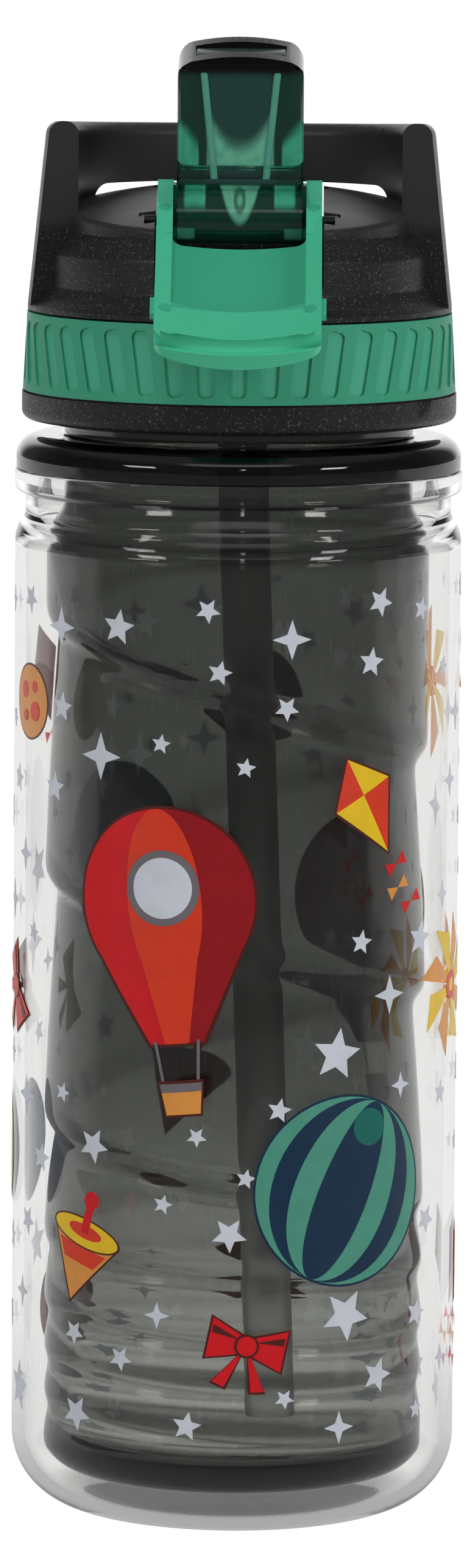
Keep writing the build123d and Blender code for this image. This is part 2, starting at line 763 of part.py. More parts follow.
# room inside the rails, under the arched panel
with BuildPart() as cover_recess:
    with BuildSketch(cover_cross):
        with BuildLine():
            ThreePointArc(
                (-panel_half_w, panel_t - panel_drop),
                (0, panel_t),
                (panel_half_w, panel_t - panel_drop),
            )
            Polyline(
                (panel_half_w, panel_t - panel_drop),
                (panel_half_w, -far),
                (-panel_half_w, -far),
                (-panel_half_w, panel_t - panel_drop),
            )
        make_face()
    extrude(amount=-panel_end_s)
    with BuildSketch(cover_plan):
        with BuildLine():
            ThreePointArc(
                (-panel_half_w, panel_end_s - panel_end_drop),
                (0, panel_end_s),
                (panel_half_w, panel_end_s - panel_end_drop),
            )
            Polyline(
                (panel_half_w, panel_end_s - panel_end_drop),
                (panel_half_w, 0),
                (-panel_half_w, 0),
                (-panel_half_w, panel_end_s - panel_end_drop),
            )
        make_face()
    extrude(amount=far, both=True, mode=Mode.INTERSECT)

# grooved finger lip across the end, on the inner side
with BuildPart() as lip_groove:
    groove_path_r = cover_end_r - lip_groove_back
    with BuildSketch(cover_side):
        with Locations((cover_end_s - lip_groove_back, rail_t + lip_groove_r / 4)):
            Circle(lip_groove_r)
        with Locations((cover_end_s - lip_groove_back, rail_t - lip_groove_r)):
            Rectangle(
                2 * lip_groove_back,
                lip_rise + lip_groove_r,
                align=(Align.MIN, Align.MIN),
            )
    lip_axis = Axis(hinge_point + cover_dir * (cover_end_s - cover_end_r), cover_out)
    revolve(axis=lip_axis, revolution_arc=90)
    mirror(about=Plane.YZ)

with BuildPart() as cover:
    with BuildSketch(cover_cross):
        with BuildLine():
            ThreePointArc(
                (-cross_half_w, cover_top_t - cross_drop),
                (0, cover_top_t),
                (cross_half_w, cover_top_t - cross_drop),
            )
            Line((cross_half_w, cover_top_t - cross_drop), (cross_half_w, rail_t - cross_drop))
            ThreePointArc(
                (cross_half_w, rail_t - cross_drop),
                (0, rail_t),
                (-cross_half_w, rail_t - cross_drop),
            )
            Line((-cross_half_w, rail_t - cross_drop), (-cross_half_w, cover_top_t - cross_drop))
        make_face()
    extrude(amount=-cover_end_s)
    with BuildSketch(cover_plan) as plan:
        with BuildLine():
            ThreePointArc(
                (-cover_half_w, cover_end_s - end_drop),
                (0, cover_end_s),
                (cover_half_w, cover_end_s - end_drop),
            )
            Polyline(
                (cover_half_w, cover_end_s - end_drop),
                (cover_half_w, panel_start_s / 2),
                (-cover_half_w, panel_start_s / 2),
                (-cover_half_w, cover_end_s - end_drop),
            )
        make_face()
        fillet(plan.vertices().group_by(Axis.Y)[-1], radius=cover_corner_r)
    extrude(amount=far, both=True, mode=Mode.INTERSECT)
    add(cover_recess.part, mode=Mode.SUBTRACT)
    with BuildSketch(cover_plan) as opening:
        Rectangle(2 * panel_half_w, panel_start_s, align=(Align.CENTER, Align.MIN))
        fillet(opening.vertices().group_by(Axis.Y)[-1], radius=panel_corner_r)
    extrude(amount=far, both=True, mode=Mode.SUBTRACT)
    add(lip_groove.part, mode=Mode.SUBTRACT)
    # arms with bent tails past the hinge
    arm_t = rail_t - (side_drop + panel_drop) / 2
    for arm_x in (panel_half_w, -cover_half_w):
        with BuildSketch(cover_side.offset(arm_x)) as arm:
            Polygon(
                (tail_bend_s, arm_t),
                (-tail_s + knuckle_t / 2, arm_t + knuckle_t / 2),
                (-tail_s, arm_t + knuckle_t),
                (-tail_s, knuckle_t / 2),
                (-tail_s + knuckle_t / 2, knuckle_t),
                (knuckle_t, knuckle_t),
                (panel_start_s, cover_top_t - side_drop),
                (panel_start_s, arm_t),
                align=None,
            )
            fillet(arm.vertices().group_by(Axis.X)[0], radius=arm_round_r)
        extrude(amount=rail_w)
    # side nubs that run in the channel's grooves
    with BuildSketch(Plane(cover_side.origin, x_dir=cover_dir, z_dir=(1, 0, 0))):
        with Locations((nub_s, nub_t)):
            RectangleRounded(nub_len, nub_w, nub_w / 3)
    extrude(amount=cover_half_w + nub_proud, both=True)
    add(cover_recess.part, mode=Mode.SUBTRACT)
    # hinge bores and the shallow round marks of the ejector pins
    with BuildSketch(cover_side):
        Circle(pin_r + pin_play)
    extrude(amount=far, both=True, mode=Mode.SUBTRACT)
    mark_x = panel_half_w + rail_w / 2
    with BuildSketch(cover_plan.offset(arm_t)):
        with Locations((-mark_x, mark_s), (mark_x, mark_s)):
            Circle(mark_r)
    extrude(amount=mark_depth, mode=Mode.SUBTRACT)
cover.part.label = "cover"
export_step(cover.part, "parts/cover.step")
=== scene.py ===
# %% [markdown]
# # A kids' water bottle, piece by piece
# The bottle is a clear outer wall around a smoked inner bottle, closed by a screw lid with a carry hoop,
# a drinking spout and a flip cover. The solid model is loaded first and stays as the frame: each piece
# below replaces one solid, or gives it a finish, and rides on the body that the solid belongs to.

# %% Load the frame
import random
from math import atan2, cos, hypot, pi, radians, sin

import bmesh
import bpy
from mathutils import Matrix, Vector
from mathutils.bvhtree import BVHTree


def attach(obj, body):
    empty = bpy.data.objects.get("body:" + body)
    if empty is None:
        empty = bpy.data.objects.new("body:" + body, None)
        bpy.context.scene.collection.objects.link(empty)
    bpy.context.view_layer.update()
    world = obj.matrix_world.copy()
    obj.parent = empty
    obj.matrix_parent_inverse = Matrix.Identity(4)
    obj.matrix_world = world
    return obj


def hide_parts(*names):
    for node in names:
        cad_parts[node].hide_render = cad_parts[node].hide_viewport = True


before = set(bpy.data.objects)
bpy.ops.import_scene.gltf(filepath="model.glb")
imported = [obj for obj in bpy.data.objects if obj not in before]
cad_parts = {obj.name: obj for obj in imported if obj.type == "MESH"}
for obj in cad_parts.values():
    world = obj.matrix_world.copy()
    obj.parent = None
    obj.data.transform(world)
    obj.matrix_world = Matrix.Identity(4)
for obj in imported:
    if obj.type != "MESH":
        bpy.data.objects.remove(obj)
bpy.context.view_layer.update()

MM = 0.001

# %% [markdown]
# ## Camera
# A long lens from about a metre and a half, a little above the bottle, keeps its sides nearly upright.
# The camera leans by a fraction of a degree, as a hand-set tripod does. Cameras and lamps both look along
# their own -Z axis, so one helper turns either towards its target.

# %% Camera
camera_place = Vector((10, -1400, 295.5)) * MM
aim = Vector((0.1, 0, 120.7)) * MM
lens_mm = 195.2
roll_deg = 0.41
far_end = 20


def put_in_scene(name, data):
    thing = bpy.data.objects.new(name, data)
    bpy.context.scene.collection.objects.link(thing)
    return thing


def looking_at(place, target):
    """The matrix of something that stands at a place with its -Z axis towards the target."""
    turn = (Vector(target) - Vector(place)).to_track_quat("-Z", "Y")
    return Matrix.Translation(Vector(place)) @ turn.to_matrix().to_4x4()


camera = put_in_scene("camera", bpy.data.cameras.new("camera"))
bpy.context.scene.camera = camera
camera.data.lens = lens_mm
camera.data.clip_end = far_end
camera.matrix_world = looking_at(camera_place, aim) @ Matrix.Rotation(radians(roll_deg), 4, "Z")
print("camera", [round(c, 3) for c in camera_place], "lens", lens_mm)

# %% [markdown]
# ## Node helpers
# Every finish is a small node tree. These helpers add a node with its values set and join sockets,
# so that a finish reads as a short list of what it is made of.

# %% Adding and joining nodes
def add_node(tree, kind, **values):
    node = tree.nodes.new(kind)
    for key, value in values.items():
        if hasattr(node, key):
            setattr(node, key, value)
        else:
            node.inputs[key].default_value = value
    return node


def wire(tree, source, target):
    tree.links.new(source, target)


def set_or_wire(tree, value, socket):
    """Joins a socket to the target, or sets the target to a plain number."""
    if isinstance(value, (int, float)):
        socket.default_value = value
    else:
        wire(tree, value, socket)


print("nodes can be added and joined")

# %% [markdown]
# ## Arithmetic with masks
# A mask is a value that says, usually from 0 to 1, how much of something a place gets. Masks are multiplied
# where all of them have to hold, and the highest is taken where one is enough.

# %% Arithmetic with masks
def calc(tree, operation, first, second=None, third=None, clamp=False):
    node = tree.nodes.new("ShaderNodeMath")
    node.operation = operation
    node.use_clamp = clamp
    for socket, value in zip(node.inputs, (first, second, third)):
        if value is not None:
            set_or_wire(tree, value, socket)
    return node.outputs[0]


def fold(tree, operation, values):
    result = values[0]
    for value in values[1:]:
        result = calc(tree, operation, result, value)
    return result


def times(tree, *values):
    return fold(tree, "MULTIPLY", values)


def highest(tree, *values):
    return fold(tree, "MAXIMUM", values)


print("masks can be combined")

# %% [markdown]
# ## Where a point is
# Masks start from a position or from noise. Both are read in the object's own coordinates, so that a
# finish stays put on its piece when the lid turns or the cover closes.

# %% Where a point is
def own_place(tree):
    return tree.nodes.new("ShaderNodeTexCoord").outputs["Object"]


def noise(tree, scale, detail=2.0, roughness=0.5):
    """Noise over the object's own coordinates; scale is in features per metre."""
    node = add_node(tree, "ShaderNodeTexNoise", Detail=detail, Roughness=roughness)
    wire(tree, own_place(tree), node.inputs["Vector"])
    set_or_wire(tree, scale, node.inputs["Scale"])
    return node.outputs["Fac"]


def axis_of(tree, axis):
    """One of the object's own coordinates, X, Y or Z, in metres."""
    parts = tree.nodes.new("ShaderNodeSeparateXYZ")
    wire(tree, own_place(tree), parts.inputs["Vector"])
    return parts.outputs[axis]


def off_middle(tree):
    """How far a point lies to either side of the middle plane, in metres."""
    return calc(tree, "ABSOLUTE", axis_of(tree, "X"))


print("positions and noise ready")

# %% [markdown]
# ## Ramps and colours
# A ramp turns a distance into a mask with a soft edge, and a colour mix lets a mask choose between two
# colours. Shaders want linear colours, so one helper converts those that are written as a screen shows them.

# %% Ramps and colours
def ramp(tree, source, low, high, low_value=0.0, high_value=1.0):
    node = tree.nodes.new("ShaderNodeMapRange")
    node.interpolation_type = "SMOOTHSTEP"
    for label, value in (("From Min", low), ("From Max", high), ("To Min", low_value), ("To Max", high_value)):
        node.inputs[label].default_value = value
    wire(tree, source, node.inputs["Value"])
    return node.outputs["Result"]


def fade_out(tree, source, low, high, level=1.0):
    return ramp(tree, source, low, high, level, 0.0)


def between(tree, source, start, full, fall, end, level=1.0):
    """A mask that rises from start to full, holds its level and falls again from fall to end."""
    return times(tree, ramp(tree, source, start, full), fade_out(tree, source, fall, end, level))


def colour_mix(tree, mask, first, second):
    """Goes from the first colour to the second; each is a plain colour or a socket that gives one."""
    node = tree.nodes.new("ShaderNodeMix")
    node.data_type = "RGBA"
    for label, colour in (("A", first), ("B", second)):
        if isinstance(colour, tuple):
            node.inputs[label].default_value = (*colour, 1)
        else:
            wire(tree, colour, node.inputs[label])
    wire(tree, mask, node.inputs["Factor"])
    return node.outputs["Result"]


def srgb(red, green, blue):
    """A colour as it looks on a screen, 0 to 255, turned into the linear values that the shaders use."""
    return tuple(((c / 255 + 0.055) / 1.055) ** 2.4 if c > 10 else c / 255 / 12.92 for c in (red, green, blue))


print("ramps and colours ready")

# %% [markdown]
# ## Shared effects
# Two effects come back on many pieces. Moulded grain is the fine sparkle left by an etched mould:
# small facets on top of a soft unevenness. Handling marks are the faint smudges and hairline scuffs of use,
# which only change how glossy a surface is. Each is a node group, built once.

# %% Moulded grain and handling marks
def new_group(name, label, value, outputs):
    group = bpy.data.node_groups.new(name, "ShaderNodeTree")
    socket = group.interface.new_socket(label, in_out="INPUT", socket_type="NodeSocketFloat")
    socket.default_value = value
    for output in outputs:
        group.interface.new_socket(output, in_out="OUTPUT", socket_type="NodeSocketFloat")
    return group, group.nodes.new("NodeGroupInput").outputs[label], group.nodes.new("NodeGroupOutput").inputs


def use_group(tree, group, **values):
    node = tree.nodes.new("ShaderNodeGroup")
    node.node_tree = group
    for label, value in values.items():
        node.inputs[label].default_value = value
    return node


grain, grain_scale, grain_out = new_group("moulded_grain", "Grain Scale", 2600.0, ("Height", "Tone", "Sparkle"))
cells = add_node(grain, "ShaderNodeTexVoronoi", feature="F1", Randomness=1.0)
wire(grain, own_place(grain), cells.inputs["Vector"])
wire(grain, grain_scale, cells.inputs["Scale"])
fine = noise(grain, grain_scale)
wire(grain, calc(grain, "ADD", cells.outputs["Distance"], fine), grain_out["Height"])
wire(grain, noise(grain, 90.0, detail=3.0), grain_out["Tone"])
wire(grain, ramp(grain, noise(grain, grain_scale, detail=0.0), 0.66, 0.74), grain_out["Sparkle"])

marks, smudge_scale, marks_out = new_group("handling_marks", "Smudge Scale", 40.0, ("Smudge", "Scuff"))
smudge = noise(marks, smudge_scale, detail=4.0, roughness=0.6)
wire(marks, ramp(marks, smudge, 0.42, 0.7), marks_out["Smudge"])
stretch = add_node(marks, "ShaderNodeMapping", Scale=(1, 1, 0.06), Rotation=(0.5, 0.3, 0))
wire(marks, own_place(marks), stretch.inputs["Vector"])
hair = add_node(marks, "ShaderNodeTexNoise", Scale=2400.0, Detail=1.0)
wire(marks, stretch.outputs["Vector"], hair.inputs["Vector"])
wire(marks, ramp(marks, hair.outputs["Fac"], 0.68, 0.76), marks_out["Scuff"])
print("groups", [g.name for g in bpy.data.node_groups])

# %% [markdown]
# ## Opaque plastics
# One recipe serves the black and the green plastic: a base colour that drifts a little, roughness that
# changes with smudges and scuffs, and a bump from the grain. On the black, the grain's glints are also painted
# into the base colour as light grey dots. Where a mould was polished instead of etched, the grain and its glints
# fade out.

# %% Opaque plastics
polished_black, painted_glint_grey, painted_glint_share = (0.022, 0.022, 0.0235), (0.13, 0.13, 0.135), 0.35
wear, sunken_roughness, etch_fade, plastic_specular = 0.08, 0.12, 0.003, 0.4
seam_half_w, seam_end, seam_rise = 0.00004, 0.00014, 0.00006


def new_material(name):
    material = bpy.data.materials.new(name)
    material.use_nodes = True
    return material, material.node_tree, material.node_tree.nodes["Principled BSDF"]


def add_bump(tree, shader, relief, depth):
    bump = add_node(tree, "ShaderNodeBump", Strength=1.0, Distance=depth)
    wire(tree, relief, bump.inputs["Height"])
    wire(tree, bump.outputs["Normal"], shader.inputs["Normal"])


def plastic(name, dark, light, roughness, grain_scale, grain_depth, sparkle=0.0, etched_to=None, seam=False,
            sunken=None, sunken_colour=None):
    """etched_to is the height, in metres, up to which the mould was etched, seam adds the mould's parting line,
    and sunken is a mask of places that lie deeper and get another colour and less gloss: on the grip band the paler
    floors of its slots, on the cover painted shade in its recessed panel."""
    material, tree, shader = new_material(name)
    texture = use_group(tree, grain, **{"Grain Scale": grain_scale})
    worn = use_group(tree, marks)
    glints, relief = texture.outputs["Sparkle"], texture.outputs["Height"]
    colour = colour_mix(tree, texture.outputs["Tone"], dark, light)
    rough = calc(tree, "MULTIPLY_ADD", worn.outputs["Smudge"], wear, roughness)
    if etched_to:
        etched = fade_out(tree, axis_of(tree, "Z"), etched_to, etched_to + etch_fade)
        glints, relief = times(tree, glints, etched), times(tree, relief, etched)
        colour = colour_mix(tree, etched, polished_black, colour)
    # painted glints: where the grain sparkles, light grey dots are painted into the base colour as highlights
    if sparkle:
        colour = colour_mix(tree, times(tree, glints, painted_glint_share), colour, painted_glint_grey)
    # on the cover, the sunken mask paints shade into the recessed panel
    if sunken:
        sunk = sunken(tree)
        colour = colour_mix(tree, sunk, colour, sunken_colour)
        rough = calc(tree, "ADD", rough, times(tree, sunk, sunken_roughness))
    wire(tree, colour, shader.inputs["Base Color"])
    rough = calc(tree, "SUBTRACT", rough, times(tree, glints, sparkle), clamp=True)
    rough = calc(tree, "ADD", rough, times(tree, worn.outputs["Scuff"], wear), clamp=True)
    wire(tree, rough, shader.inputs["Roughness"])
    if seam:
        line = fade_out(tree, off_middle(tree), seam_half_w, seam_end)
        relief = calc(tree, "ADD", relief, times(tree, line, seam_rise / grain_depth))
    add_bump(tree, shader, relief, grain_depth)
    shader.inputs["Specular IOR Level"].default_value = plastic_specular
    return material


print("plastic recipe ready")

# %% [markdown]
# ## Masks for two green pieces
# Two finishes change from place to place, and a mask worked out from the object's own coordinates finds
# the places: the grip band's slot floors, and painted shade on the cover's recessed panel. It keeps its edges crisp
# at any distance and needs no image.

# %% Slot floors and painted panel shade
hinge = Vector((0, -16, 215))
cover_open_deg = 212.5
cover_way = Vector((0, cos(radians(cover_open_deg)), sin(radians(cover_open_deg))))
band_low_r, band_low_z, band_lean = 0.03565, 0.18645, 0.0531


def slot_floors(tree):
    """The floors of the grip band's slots lie half a millimetre inside its slightly tapered surface."""
    squares = [times(tree, axis_of(tree, axis), axis_of(tree, axis)) for axis in ("X", "Y")]
    reach = calc(tree, "SQRT", calc(tree, "ADD", *squares))
    surface = calc(tree, "MULTIPLY_ADD", axis_of(tree, "Z"), -band_lean, band_low_r + band_low_z * band_lean)
    return between(tree, calc(tree, "SUBTRACT", surface, reach), 0.0003, 0.0004, 0.0006, 0.0007)


def painted_panel_shade(tree):
    """Where shade is painted on the cover's recessed panel, between its rails and along its length."""
    from_hinge = [times(tree, calc(tree, "SUBTRACT", axis_of(tree, axis), start * MM), way)
                  for axis, start, way in (("Y", hinge.y, cover_way.y), ("Z", hinge.z, cover_way.z))]
    along = calc(tree, "ADD", *from_hinge)
    across = fade_out(tree, off_middle(tree), 0.0106, 0.0109)
    return times(tree, across, between(tree, along, 0.006, 0.008, 0.0279, 0.0284))


print("the open cover points along", [round(c, 3) for c in cover_way])

# %% Black, green and silicone
black = ((0.0065, 0.0065, 0.0068), (0.011, 0.011, 0.0115))
etched_grain = (2600.0, 0.00003)
black_shell = plastic("black_shell", *black, 0.4, *etched_grain, sparkle=0.18, etched_to=0.212)
black_ring = plastic("black_ring", *black, 0.42, *etched_grain, sparkle=0.18, seam=True)
black_smooth = plastic("black_smooth", *black, 0.33, 1800.0, 0.000006)
# the cover's recessed panel is painted a darker green, as painted shade
green_satin = plastic("green_satin", srgb(60, 171, 133), srgb(68, 178, 140), 0.36, 1500.0, 0.000006,
                      sunken=painted_panel_shade, sunken_colour=srgb(55, 156, 123))
green_grained = plastic("green_grained", srgb(49, 137, 107), srgb(57, 145, 114), 0.45, 2200.0, 0.00002, seam=True,
                        sunken=slot_floors, sunken_colour=srgb(68, 156, 127))
silicone = plastic("silicone", (0.55, 0.55, 0.54), (0.6, 0.6, 0.59), 0.5, 900.0, 0.00001)
print("plastics", [m.name for m in (black_shell, black_ring, black_smooth, green_satin, green_grained, silicone)])

# %% [markdown]
# ## Clear plastics
# A clear wall bends light like glass. What colours it is the depth that light travels through: a smoked
# wall absorbs evenly, so a thick flange turns black while a thin wall stays grey. Lamps would leave dark
# shadows behind such walls, so rays on their way to a lamp pass straight through a Transparent shader.

# %% Clear plastics
wave_depth, wave_scale, scuff_roughness = 0.00001, 60.0, 0.12


def blend_shaders(tree, mask, first, second, output):
    choose = tree.nodes.new("ShaderNodeMixShader")
    wire(tree, mask, choose.inputs["Fac"])
    wire(tree, first, choose.inputs[1])
    wire(tree, second, choose.inputs[2])
    wire(tree, choose.outputs["Shader"], output.inputs["Surface"])


def clear_plastic(name, tint, roughness, depth_colour=None, depth_density=0.0, lamp_tint=(1, 1, 1), ior=1.5,
                  low_tint=None, low_z=0.0, high_z=1.0):
    """low_tint colours the foot of the piece, up to low_z; it has turned into tint at high_z."""
    material, tree, shader = new_material(name)
    shader.inputs["Transmission Weight"].default_value = 1.0
    shader.inputs["IOR"].default_value = ior
    shader.inputs["Base Color"].default_value = (*tint, 1)
    if low_tint:
        rise = ramp(tree, axis_of(tree, "Z"), low_z, high_z)
        wire(tree, colour_mix(tree, rise, low_tint, tint), shader.inputs["Base Color"])
    scuff = use_group(tree, marks).outputs["Scuff"]
    wire(tree, calc(tree, "MULTIPLY_ADD", scuff, scuff_roughness, roughness), shader.inputs["Roughness"])
    add_bump(tree, shader, noise(tree, wave_scale, detail=1.0), wave_depth)
    lamp_ray = tree.nodes.new("ShaderNodeLightPath").outputs["Is Shadow Ray"]
    through = add_node(tree, "ShaderNodeBsdfTransparent", Color=(*lamp_tint, 1))
    output = tree.nodes["Material Output"]
    blend_shaders(tree, lamp_ray, shader.outputs["BSDF"], through.outputs["BSDF"], output)
    if depth_density:
        depth = add_node(tree, "ShaderNodeVolumeAbsorption", Color=(*depth_colour, 1), Density=depth_density)
        wire(tree, depth.outputs["Volume"], output.inputs["Volume"])
    return material


clear_wall_finish = clear_plastic("clear_wall_finish", (0.855, 0.855, 0.848), 0.02, lamp_tint=(0.96, 0.96, 0.96),
                                  ior=1.3)
smoked_finish = clear_plastic("smoked_finish", (0.42, 0.435, 0.415), 0.03, (0.1, 0.12, 0.09), 360.0,
                              lamp_tint=(0.6, 0.6, 0.6), low_tint=(1, 1, 0.98), low_z=0.01, high_z=0.085)
green_clear_finish = clear_plastic("green_clear_finish", (0.6, 0.84, 0.77), 0.02, (0.02, 0.7, 0.5), 90.0,
                                   lamp_tint=(0.5, 0.8, 0.7), ior=1.42)
tip_finish = clear_plastic("tip_finish", (0.18, 0.21, 0.2), 0.04, (0.12, 0.17, 0.16), 3000.0,
                           lamp_tint=(0.5, 0.55, 0.55), ior=1.42)
straw_finish = clear_plastic("straw_finish", (0.6, 0.6, 0.59), 0.32, lamp_tint=(0.7, 0.7, 0.7), ior=1.35,
                             low_tint=(0.88, 0.88, 0.87), low_z=0.02, high_z=0.1)
print("clear finishes", [m.name for m in bpy.data.materials if m.name.endswith("_finish")])

# %% [markdown]
# ## Mesh helpers
# A shape is made as a bmesh and becomes an object at the end. There it gets its finish, rides on a body of
# the frame, and stands in for a solid where it has one.

# %% Mesh helpers
def as_mesh(bm, name):
    mesh = bpy.data.meshes.new(name)
    bm.to_mesh(mesh)
    bm.free()
    return mesh


def add_shape(sheet, shape):
    """Adds one bmesh to another, which keeps many small shapes in one piece."""
    part = as_mesh(shape, "part")
    sheet.from_mesh(part)
    bpy.data.meshes.remove(part)


def finish_piece(name, bm, body, materials, replaces=(), sharp_deg=32.0):
    mesh = as_mesh(bm, name)
    piece = put_in_scene(name, mesh)
    for material in materials if isinstance(materials, (list, tuple)) else [materials]:
        mesh.materials.append(material)
    mesh.shade_smooth()
    mesh.set_sharp_from_angle(angle=radians(sharp_deg))
    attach(piece, body)
    if replaces:
        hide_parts(*replaces)
    print(name, len(mesh.polygons), "faces")
    return piece


print("mesh helpers ready")

# %% [markdown]
# ## Turned work and boxes
# Most of the bottle is turned work: a profile spun about the upright axis. A profile is a short list of
# corners, given as radius and height in millimetres. Rounds come from bevelling corners of the profile
# before it is spun, so that the mesh has even rings.

# %% Turned work and boxes
merge_dist = 0.000002


def draw_profile(bm, corners, closed):
    """Vertices and edges of a profile in the XZ plane; a corner is (radius, height) or (radius, height, round)."""
    verts = [bm.verts.new((c[0] * MM, 0, c[1] * MM)) for c in corners]
    for first, second in zip(verts, verts[1:] + (verts[:1] if closed else [])):
        bm.edges.new((first, second))
    for vert, corner in zip(verts, corners):
        if len(corner) > 2:
            steps = max(4, int(corner[2] * 3))
            bmesh.ops.bevel(bm, geom=[vert], offset=corner[2] * MM, offset_type="OFFSET", segments=steps,
                            profile=0.5, affect="VERTICES", material=-1)


def spin_full(bm, steps, axis=(0, 0, 1)):
    bmesh.ops.spin(bm, geom=bm.verts[:] + bm.edges[:], cent=(0, 0, 0), axis=axis, angle=2 * pi, steps=steps,
                   use_merge=True)
    bmesh.ops.remove_doubles(bm, verts=bm.verts, dist=merge_dist)
    bmesh.ops.recalc_face_normals(bm, faces=bm.faces)


def turned(corners, steps, longest=None):
    """Spins an open profile; longest, in millimetres, limits how far apart its rings may be."""
    bm = bmesh.new()
    draw_profile(bm, corners, closed=False)
    if longest:
        for edge in list(bm.edges):
            cuts = int(edge.calc_length() / (longest * MM))
            if cuts:
                bmesh.ops.subdivide_edges(bm, edges=[edge], cuts=cuts)
    spin_full(bm, steps)
    return bm


def boxed(low, high, round_mm):
    """A box between two corners in millimetres, with all its edges rounded."""
    bm = bmesh.new()
    bmesh.ops.create_cube(bm, size=1)
    size = Vector(high) - Vector(low)
    place = Matrix.Translation((Vector(low) + size / 2) * MM) @ Matrix.Diagonal((*(size * MM), 1))
    bmesh.ops.transform(bm, matrix=place, verts=bm.verts)
    bmesh.ops.bevel(bm, geom=bm.edges[:], offset=round_mm * MM, segments=4, profile=0.5, affect="EDGES",
                    material=-1)
    return bm


print("profiles can be turned and boxes rounded")

# %% [markdown]
# ## Helpers for pieces that keep a solid's form
# Some pieces need no new shape, only rounder edges and a finish. A solid's mesh comes as loose triangles,
# so its copy is joined and its flat parts are dissolved first. Then a bevel has clean edges to work on.

# %% Helpers for pieces that keep a solid's form
sliver_dist, flat_deg = 0.000001, 0.5


def merged_copy(node):
    bm = bmesh.new()
    bm.from_mesh(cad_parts[node].data)
    bmesh.ops.remove_doubles(bm, verts=bm.verts, dist=merge_dist)
    bmesh.ops.dissolve_degenerate(bm, edges=bm.edges, dist=sliver_dist)
    bmesh.ops.dissolve_limit(bm, angle_limit=radians(flat_deg), verts=bm.verts, edges=bm.edges)
    return bm


def soft_edges(piece, width, segments=2, angle_deg=35.0):
    bevel = piece.modifiers.new("soft_edges", "BEVEL")
    bevel.width, bevel.segments = width * MM, segments
    bevel.limit_method, bevel.angle_limit = "ANGLE", radians(angle_deg)
    bevel.harden_normals = False
    bevel.use_clamp_overlap = True
    piece.modifiers.new("even_shading", "WEIGHTED_NORMAL").keep_sharp = True


def recolour(node, material):
    """Gives a solid of the frame its finish and leaves its mesh as it is."""
    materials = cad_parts[node].data.materials
    materials.clear()
    materials.append(material)


print("helpers for solids ready")

# %% [markdown]
# ## Clear outer wall
# The outer wall is blown or moulded as one open jar: a rounded foot, a straight side, a finger groove and
# a bead under the rim. One closed profile, outside and inside, is spun once, so that the wall has its true
# thickness and bends light at both faces.

# %% Clear outer wall
wall_r, wall_t = 36.85, 2.0
foot_round = 12.3
shoulder_z, groove_r, groove_top_z, rim_z = 165.7, 35.1, 169.6, 173.4

wall_profile = (
    (0, 0),
    (wall_r, 0, foot_round),
    (wall_r, shoulder_z - 2.2, 2.0),
    (groove_r, shoulder_z, 0.8),
    (groove_r, groove_top_z, 0.4),
    (wall_r, groove_top_z + 0.1, 0.9),
    (wall_r, rim_z, 0.25),
    (groove_r - wall_t, rim_z),
    (groove_r - wall_t, shoulder_z - wall_t, 0.8),
    (wall_r - wall_t, shoulder_z - 2 * wall_t, 1.0),
    (wall_r - wall_t, wall_t, foot_round - wall_t),
    (0, wall_t),
)
finish_piece("outer_wall_clear", turned(wall_profile, steps=192), "bottle_body", clear_wall_finish,
             replaces=("outer_wall",), sharp_deg=50)

# %% [markdown]
# ## Spiral step of the inner bottle
# The side of the inner bottle is pressed into a spiral step, which stiffens it: under the step the wall
# sits deeper and then swells slowly back until the next turn. The spiral isn't even, so its heights are
# listed for each half turn and blended between. A function says how deep the wall lies at any point.

# %% Spiral step
step_depth, step_soft, step_swell = 2.3, 2.4, 1.3
step_top_z, step_bottom_z, step_top_fade, step_bottom_fade = 163, 11, 6, 4
low_depth_share, low_depth_z, low_depth_fade = 0.62, 40, 25
straight_share = 0.75
spiral_heights = (171, 150, 127, 107, 87, 66, 51, 46, 41, 35, 31, 26.5, 23, 19, 14, 11, 8)   # left, right, left ...


def spiral_height(angle, turn):
    """Height of the spiral step at an angle measured from the left side across the front."""
    half_turns = 2 * (angle / (2 * pi) + turn) + 1
    if not 0 <= half_turns < len(spiral_heights) - 1:
        return None
    low = int(half_turns)
    share = half_turns - low
    share = share * straight_share + (1 - straight_share) * (1 - cos(pi * share)) / 2
    return spiral_heights[low] + (spiral_heights[low + 1] - spiral_heights[low]) * share


def pressed_in(x, y, z):
    """How far the wall is pressed in at a point, in millimetres."""
    if z > step_top_z or z < step_bottom_z:
        return 0.0
    angle = atan2(-y, -x) % (2 * pi)
    heights = [spiral_height(angle, turn) for turn in range(-1, len(spiral_heights) // 2 + 1)]
    above = [h for h in heights if h is not None and h >= z]
    below = [h for h in heights if h is not None and h < z]
    if not above or not below:
        return 0.0
    top, bottom = min(above), max(below)
    fall = (top - z) / (top - bottom)
    near = min(1.0, (top - z) / step_soft)
    full_depth = min(1.0, max(0.0, (z - low_depth_z) / low_depth_fade))
    depth = step_depth * (low_depth_share + (1 - low_depth_share) * full_depth)
    swell = depth * (1 - fall) ** step_swell * (near * near * (3 - 2 * near))
    return swell * min(1.0, (step_top_z - z) / step_top_fade, (z - step_bottom_z) / step_bottom_fade)


print("the step drops from", spiral_heights[0], "to", spiral_heights[-1], "mm")

# %% [markdown]
# ## Smoked inner bottle
# The inner bottle hangs from its flange. Its profile is spun first, with many rings, and then every vertex
# of the side is pressed in. The inside follows one wall thickness higher, so that the step is as thick as
# the rest and reads as a darker line. A little smoothing takes the last hard corner off the step.

# %% Smoked inner bottle
inner_r, inner_t, inner_z = 31.6, 1.8, 6.5
flange_r, flange_top_z = 36.7, 179.0
neck_r, neck_in_r, neck_top_z = 28.75, 26.75, 196.0
inner_floor_t = 4.5
side_top_z, neck_root_z = rim_z - 11, rim_z - 5.5
side_margin, smooth_low_z, smooth_high_z, smooth_passes = 6, 9, 166, 4

